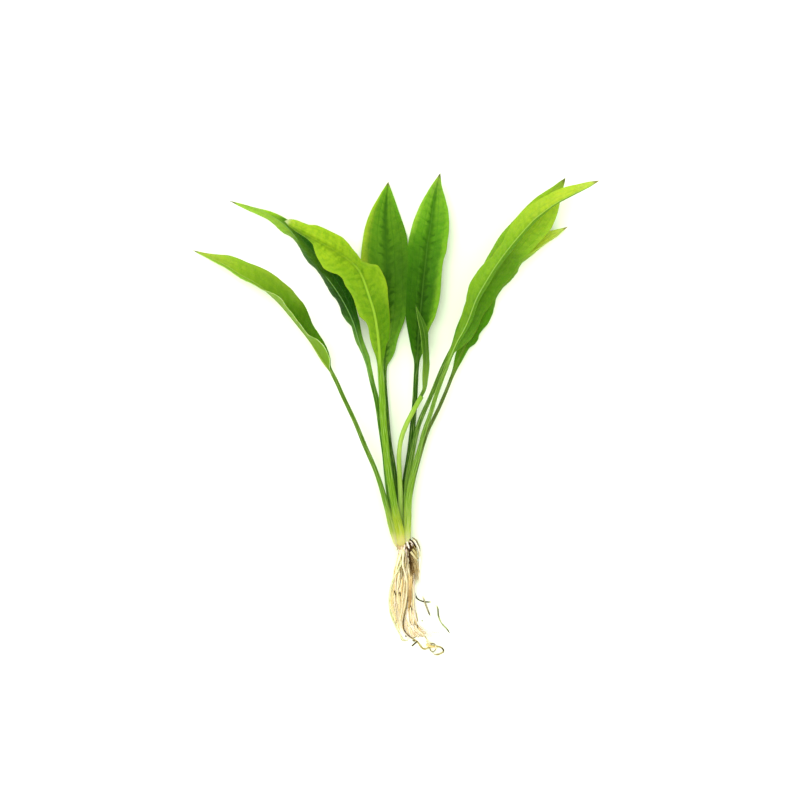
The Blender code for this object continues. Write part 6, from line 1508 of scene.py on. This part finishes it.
    # the ends of the loop at the low right and of the outer root, and dark scraps
    tangle = [tube([(435.2, 654.9, 0.5), (434.0, 654.1, 0.5), (433.2, 652.9, 0.5), (432.8, 651.9, 0.5)], 0.18, 610, -0.3, 0.2, 8, 0.4)]
    tangle.append(tube([(429.2, 646.6, 1.1), (430.0, 649.0, 0.9), (431.0, 650.9, 0.8), (432.8, 651.8, 0.7)], 0.34, 611, (0.15, 0.25, 0.2, 0.1), 0.3, 8, 0.3))
    tangle.append(tube([(426.6, 641.0, 0.9), (429.0, 642.8, 1.0), (431.8, 644.8, 1.2)], 0.28, 641, 0.35, 0.3, 8, 0.4))
    tangle.append(tube([(399.4, 633.6, 1.0), (400.8, 637.4, 0.8), (401.6, 640.0, 0.7), (404.0, 640.9, 0.6), (407.8, 640.3, 0.5)], 0.26, 613, -0.2, 0.4, 8, 0.4))
    join_tubes("root_tangle", tangle, olive)
    scraps = []
    for number, (x0, y0, x1, y1, radius) in enumerate((
            (411.9, 646.0, 417.2, 641.4, 0.40), (394.0, 590.6, 395.6, 595.2, 0.34), (399.4, 592.4, 400.4, 596.2, 0.30),
            (410.4, 605.8, 412.2, 610.2, 0.36), (421.7, 620.2, 422.3, 621.4, 0.28), (405.2, 635.8, 406.0, 637.0, 0.34),
            (412.9, 640.6, 414.2, 641.4, 0.32), (417.3, 624.8, 417.8, 627.4, 0.34), (396.4, 620.0, 395.4, 624.0, 0.20),
            (402.6, 569.0, 401.4, 579.0, 0.30), (399.8, 568.0, 400.4, 573.0, 0.20), (414.2, 622.0, 414.6, 625.0, 0.20))):
        line = [(x0, y0), (0.5 * (x0 + x1) + 0.3, 0.5 * (y0 + y1) - 0.2), (x1, y1)]
        line = [(x, y, float(top_of_roots(x, y)) + 0.6 * radius) for x, y in line]
        scraps.append(tube(line, radius, 620 + number, 1.0 if number == 0 else 0.8 if number < 8 else 0.55, 0.3, 8, 0.25))
    join_tubes("root_scraps", scraps, olive)


def build_fibres(brown, amber, olive, rose):
    """Dark fibres and dead leaf bases at the crown's right, with dark stumps and fuzz that are partly painted shade,
    stubs of old roots.
    """
    rng = np.random.default_rng(7)
    dark, fuzz, gold = [], [], []
    # the thicker locks that the fibres lie in
    for number, (x0, y0, x1, y1, x2, y2, radius, stain_and_glare) in enumerate((
            (408.6, 548.0, 409.6, 555.0, 411.0, 566.0, 0.62, (0.9, 0.95, 0.7, 0.3)), (410.0, 547.6, 411.4, 556.0, 412.6, 569.0, 0.72, (0.95, 0.95, 0.6, 0.1)),
            (411.4, 548.4, 413.0, 558.0, 414.2, 573.0, 0.70, (0.9, 0.7, 0.3, 0.0)), (412.6, 549.6, 414.6, 560.0, 416.0, 577.0, 0.70, (0.75, 0.5, 0.3, 0.1)),
            (413.6, 551.0, 416.0, 562.0, 417.6, 580.0, 0.62, (0.55, 0.3, 0.2, 0.0)), (414.4, 553.0, 417.2, 563.0, 418.8, 578.0, 0.46, (0.4, 0.2, 0.1, -0.1)),
            (411.0, 560.0, 412.8, 567.0, 413.6, 581.0, 0.50, (0.8, 0.45, 0.15, 0.0)), (413.4, 562.0, 415.2, 570.0, 415.4, 584.0, 0.46, (0.45, 0.3, 0.2, 0.0)))):
        q = np.linspace(0, 1, 12)
        x = x0 * (1 - q) ** 2 + 2 * x1 * q * (1 - q) + x2 * q * q
        y = y0 * (1 - q) ** 2 + 2 * y1 * q * (1 - q) + y2 * q * q
        z = np.maximum(top_of_roots(x, y) + 0.1, 6.6 - 0.205 * (y - 548))
        z = np.convolve(np.pad(z, 2, mode="edge"), (0.15, 0.2, 0.3, 0.2, 0.15), "valid")
        route, run = smooth_route(chart_mm(np.stack([x, y, z], -1)), 0.5)
        part = run / run[-1]
        radii = radius * (0.55 + 0.45 * ease(part * 4)) * (1 - 0.8 * ease((part - 0.35) / 0.65)) * (1 + 0.15 * wander(np.stack([run / 2.0, 0 * run + number, 0 * run], axis=-1), 3.0))
        route[:, 2] = np.clip(route[:, 2], 0.1 + radii, 9.2)
        (gold if number in (3, 4, 5, 7) else dark).append((route, radii, 10, 800 + number, stain_and_glare))
        LAID.append((route, radii))
    for number in range(230):
        lower = number % 3 == 0
        x0, y0 = rng.uniform(407.0, 414.0), rng.uniform(541.5, 553)
        if lower:
            x0, y0 = x0 + rng.uniform(1.5, 3.5), y0 + rng.uniform(2, 14)
        z0 = rng.uniform(6.4, 9.1) - (0.2 * (y0 - 552) if y0 > 552 else 0.0)
        x1 = rng.uniform(413.4, 420.0) if lower else rng.uniform(410.6, 414.4) + 0.2 * (x0 - 410)
        y1 = rng.uniform(566, 584) if lower else rng.uniform(554, 577)
        z1 = rng.uniform(0.5, 3.4) if lower else rng.uniform(3.2, 7.6)
        q = np.linspace(0, 1, 13)
        x = x0 + (x1 - x0) * q + rng.uniform(-1.4, 1.6) * np.sin(math.pi * q) + 0.3 * np.sin(q * rng.uniform(4, 12) + rng.uniform(0, 6))
        y = y0 + (y1 - y0) * q + 0.4 * np.sin(q * rng.uniform(3, 9))
        z = z0 + (z1 - z0) * ease(q) + rng.uniform(-0.4, 1.0) * np.sin(math.pi * q)
        if number % 3 == 1 or number % 6 == 0:
            z = np.maximum(z, np.where(x > 409.5, top_of_roots(x, y) + rng.uniform(-0.1, 0.2), 0))
        route = chart_mm(np.stack([x, y, np.clip(z, 0.15, 9.4)], -1))
        radii = rng.uniform(0.08, 0.19) * (1 - 0.7 * q)
        stain_and_glare = rng.uniform(0, 0.25) if lower else (rng.uniform(0.7, 1.0) if number % 3 else rng.uniform(0.1, 0.4))
        (gold if lower else dark).append((route, radii, 5, number, (0.5 + stain_and_glare, 0.2 + stain_and_glare, 0.0, -0.3) if lower else (stain_and_glare, stain_and_glare, 0.3 * stain_and_glare)))
    # short dark stumps between the stubs, partly painted shade in the dark gaps there
    for number, (x0, y0, z0, x1, y1, z1, radius) in enumerate((
            (409.6, 539.2, 7.6, 411.8, 542.4, 8.2, 0.50), (411.4, 540.8, 7.8, 413.8, 545.0, 7.8, 0.56), (413.6, 543.4, 7.2, 415.8, 548.2, 6.8, 0.52),
            (407.0, 545.4, 8.0, 408.0, 549.6, 8.2, 0.50), (409.4, 550.6, 8.0, 410.4, 556.4, 7.4, 0.62), (411.6, 549.6, 7.8, 413.0, 556.0, 6.8, 0.56),
            (412.4, 556.0, 7.0, 413.8, 563.0, 5.4, 0.52), (414.6, 548.8, 6.6, 416.4, 553.0, 5.4, 0.44), (405.8, 543.4, 8.0, 406.6, 546.4, 8.4, 0.34))):
        dark.append(tube([(x0, y0, z0), (0.5 * (x0 + x1) + 0.4, 0.5 * (y0 + y1), 0.5 * (z0 + z1) + 0.3), (x1, y1, z1)], radius, 260 + number, 0.97, 0.35, 9, 0.3))
    # dark fuzz on the outer side of the arching root, partly painted shade along that side
    for number in range(18):
        q = np.linspace(0, 1, 10)
        start, end = rng.uniform(0.0, 0.5), rng.uniform(0.5, 1.0)
        t = start + (end - start) * q
        x = np.interp(t, (0, 0.33, 0.66, 1), (411.6, 416.2, 419.2, 420.2)) + rng.uniform(-0.7, 0.4)
        y = np.interp(t, (0, 0.33, 0.66, 1), (537.4, 540.6, 547.0, 553.0)) - rng.uniform(0.0, 1.0)
        z = np.interp(t, (0, 1), (5.8, 4.4)) - rng.uniform(0.0, 0.9)
        gold.append((chart_mm(np.stack([x, y, z], -1)), rng.uniform(0.07, 0.14) * (1 - 0.6 * q), 5, 280 + number, float(rng.uniform(0.3, 0.8))))
    # short torn fibres along the foot of the sheaths
    for number in range(60):
        x0, y0 = rng.uniform(397.0, 406.0), rng.uniform(543.0, 546.5)
        z0 = rng.uniform(6.0, 9.0)
        points = [(x0, y0, z0), (x0 + rng.uniform(-0.5, 0.7), y0 + 1.8, z0 + 0.2), (x0 + rng.uniform(-0.9, 1.1), y0 + rng.uniform(3.0, 6.0), z0 - rng.uniform(0.2, 1.4))]
        fuzz.append(tube(points, rng.uniform(0.06, 0.13), 700 + number, float(rng.choice((-0.2, 0.15, 0.45))), 0.6, 5))
    join_tubes("crown_fibres", dark, brown)
    join_tubes("crown_fibres_gold", gold, amber)
    join_tubes("crown_fuzz", fuzz, olive)
    stubs, tan = [], []
    for number, (radius, stain_and_glare, points) in enumerate((
            (0.52, -0.25, [(407.0, 541.8, 8.9), (407.9, 545.0, 9.3), (409.6, 548.4, 8.9), (411.6, 551.8, 7.7)]),
            (0.32, -0.2, [(409.4, 541.0, 8.6), (411.4, 542.4, 8.9), (413.0, 544.4, 8.4)]),
            (0.30, -0.1, [(411.0, 543.6, 8.6), (412.4, 546.4, 8.7), (412.4, 549.4, 7.9)]),
            (0.44, -0.1, [(404.6, 544.8, 8.6), (404.3, 548.0, 9.0), (403.6, 551.0, 8.9), (403.0, 555.0, 8.8)]),
            (0.42, -0.1, [(401.8, 544.8, 8.0), (401.4, 548.4, 8.3), (400.8, 552.6, 7.2), (400.2, 557.0, 6.2)]),
            (0.36, 0.1, [(399.4, 545.0, 6.6), (399.0, 549.0, 6.7), (398.3, 554.0, 5.6)]),
            (0.38, 0.0, [(406.4, 544.6, 8.4), (406.2, 549.0, 8.8), (407.2, 553.0, 8.4), (407.8, 558.0, 8.0)]))):
        stubs.append(tube(points, radius, 300 + number, stain_and_glare, 0.25, 10, 0.35))
    for number, (radius, stain_and_glare, points) in enumerate((
            (0.60, -0.1, [(410.6, 551.6, 8.9), (413.4, 555.2, 8.6), (416.9, 559.8, 7.2)]),
            (0.40, 0.05, [(413.0, 545.4, 8.4), (415.6, 549.4, 7.6), (417.4, 554.4, 6.2)]),
            (0.50, 0.0, [(412.6, 549.0, 8.2), (415.4, 553.0, 7.0), (417.8, 558.2, 5.2)]),
            (0.34, 0.1, [(414.2, 551.4, 7.6), (415.6, 556.0, 6.6), (416.4, 561.6, 5.0)]))):
        points = [(x, y, max(z, float(top_of_roots(x, y)) + 0.35)) for x, y, z in points]
        tan.append(tube(points, radius, 320 + number, stain_and_glare, 0.25, 10, 0.35))
    for number in range(12):
        x0 = rng.uniform(402.0, 413.0)
        y0, z0 = rng.uniform(545.5, 549.5), rng.uniform(5.4, 8.4)
        way = np.array([rng.uniform(-1.2, 3.4) * (1 if x0 > 406 else 0.4), rng.uniform(2.5, 7.0), rng.uniform(-1.2, 0.6)])
        q = np.linspace(0, 1, 9)[:, None]
        points = np.array([x0, y0, z0]) + way * q + np.array([0.6, 0.0, 0.5]) * np.sin(math.pi * q) * rng.uniform(-1, 1)
        points[:, 2] = np.clip(points[:, 2], 0.4, 9.2)
        (stubs if number % 2 else tan).append(tube(points, rng.uniform(0.24, 0.42), 340 + number, 0.0, 0.3, 9, 0.4))
    join_tubes("root_stubs", stubs, rose)
    join_tubes("root_stubs_tan", tan, olive)


def build_stage():
    """Floor, camera over the plant, and soft light."""
    size = 3.0
    mesh = bpy.data.meshes.new("floor")
    mesh.from_pydata([(-size, -size, 0), (size, -size, 0), (size, size, 0), (-size, size, 0)], [], [(0, 1, 2, 3)])
    floor = bpy.data.objects.new("floor", mesh)
    bpy.context.scene.collection.objects.link(floor)
    made = bpy.data.materials.new("floor_pale_green")
    made.use_nodes = True
    shader = made.node_tree.nodes["Principled BSDF"]
    # painted light: the yellow-green tint shows only where the floor is shaded, standing in for green light passed
    # through the leaves
    shader.inputs["Base Color"].default_value = (0.88, 0.97, 0.73, 1)
    shader.inputs["Roughness"].default_value = 0.6
    shader.inputs["Specular IOR Level"].default_value = 0.15
    mesh.materials.append(made)

    lens = bpy.data.cameras.new("camera")
    lens.sensor_width, lens.lens = 36.0, 36.0 * EYE / (800 * CHART)
    lens.clip_start, lens.clip_end = 0.01, 20.0
    camera = bpy.data.objects.new("camera", lens)
    camera.location = (0.001 * SHIFT[0], 0.001 * SHIFT[1], 0.001 * EYE)
    bpy.context.scene.collection.objects.link(camera)
    bpy.context.scene.camera = camera

    world = bpy.data.worlds.new("soft_white")
    world.use_nodes = True
    world.node_tree.nodes["Background"].inputs[0].default_value = (1.0, 1.0, 1.0, 1)
    world.node_tree.nodes["Background"].inputs[1].default_value = 1.40
    bpy.context.scene.world = world
    for name, spot, wide, power in (("key", (-0.30, 0.24, 1.12), 0.80, 7.0), ("fill", (0.7, -0.5, 0.9), 0.9, 0.6)):
        light = bpy.data.lights.new(name, "AREA")
        light.shape, light.size, light.energy = "DISK", wide, power
        lamp = bpy.data.objects.new(name, light)
        lamp.location = spot
        lamp.rotation_euler = (-Vector(spot)).to_track_quat("-Z", "Y").to_euler()
        lamp.visible_camera = False
        bpy.context.scene.collection.objects.link(lamp)
    bpy.context.scene.view_settings.view_transform = "Standard"
    bpy.context.scene.view_settings.look = "None"


build_stage()
build_leaves()
build_cut_stalk()
build_crown()
thin, amber, brown, olive, rose = build_roots()
build_fine_roots(thin, olive)
build_fibres(brown, amber, olive, rose)
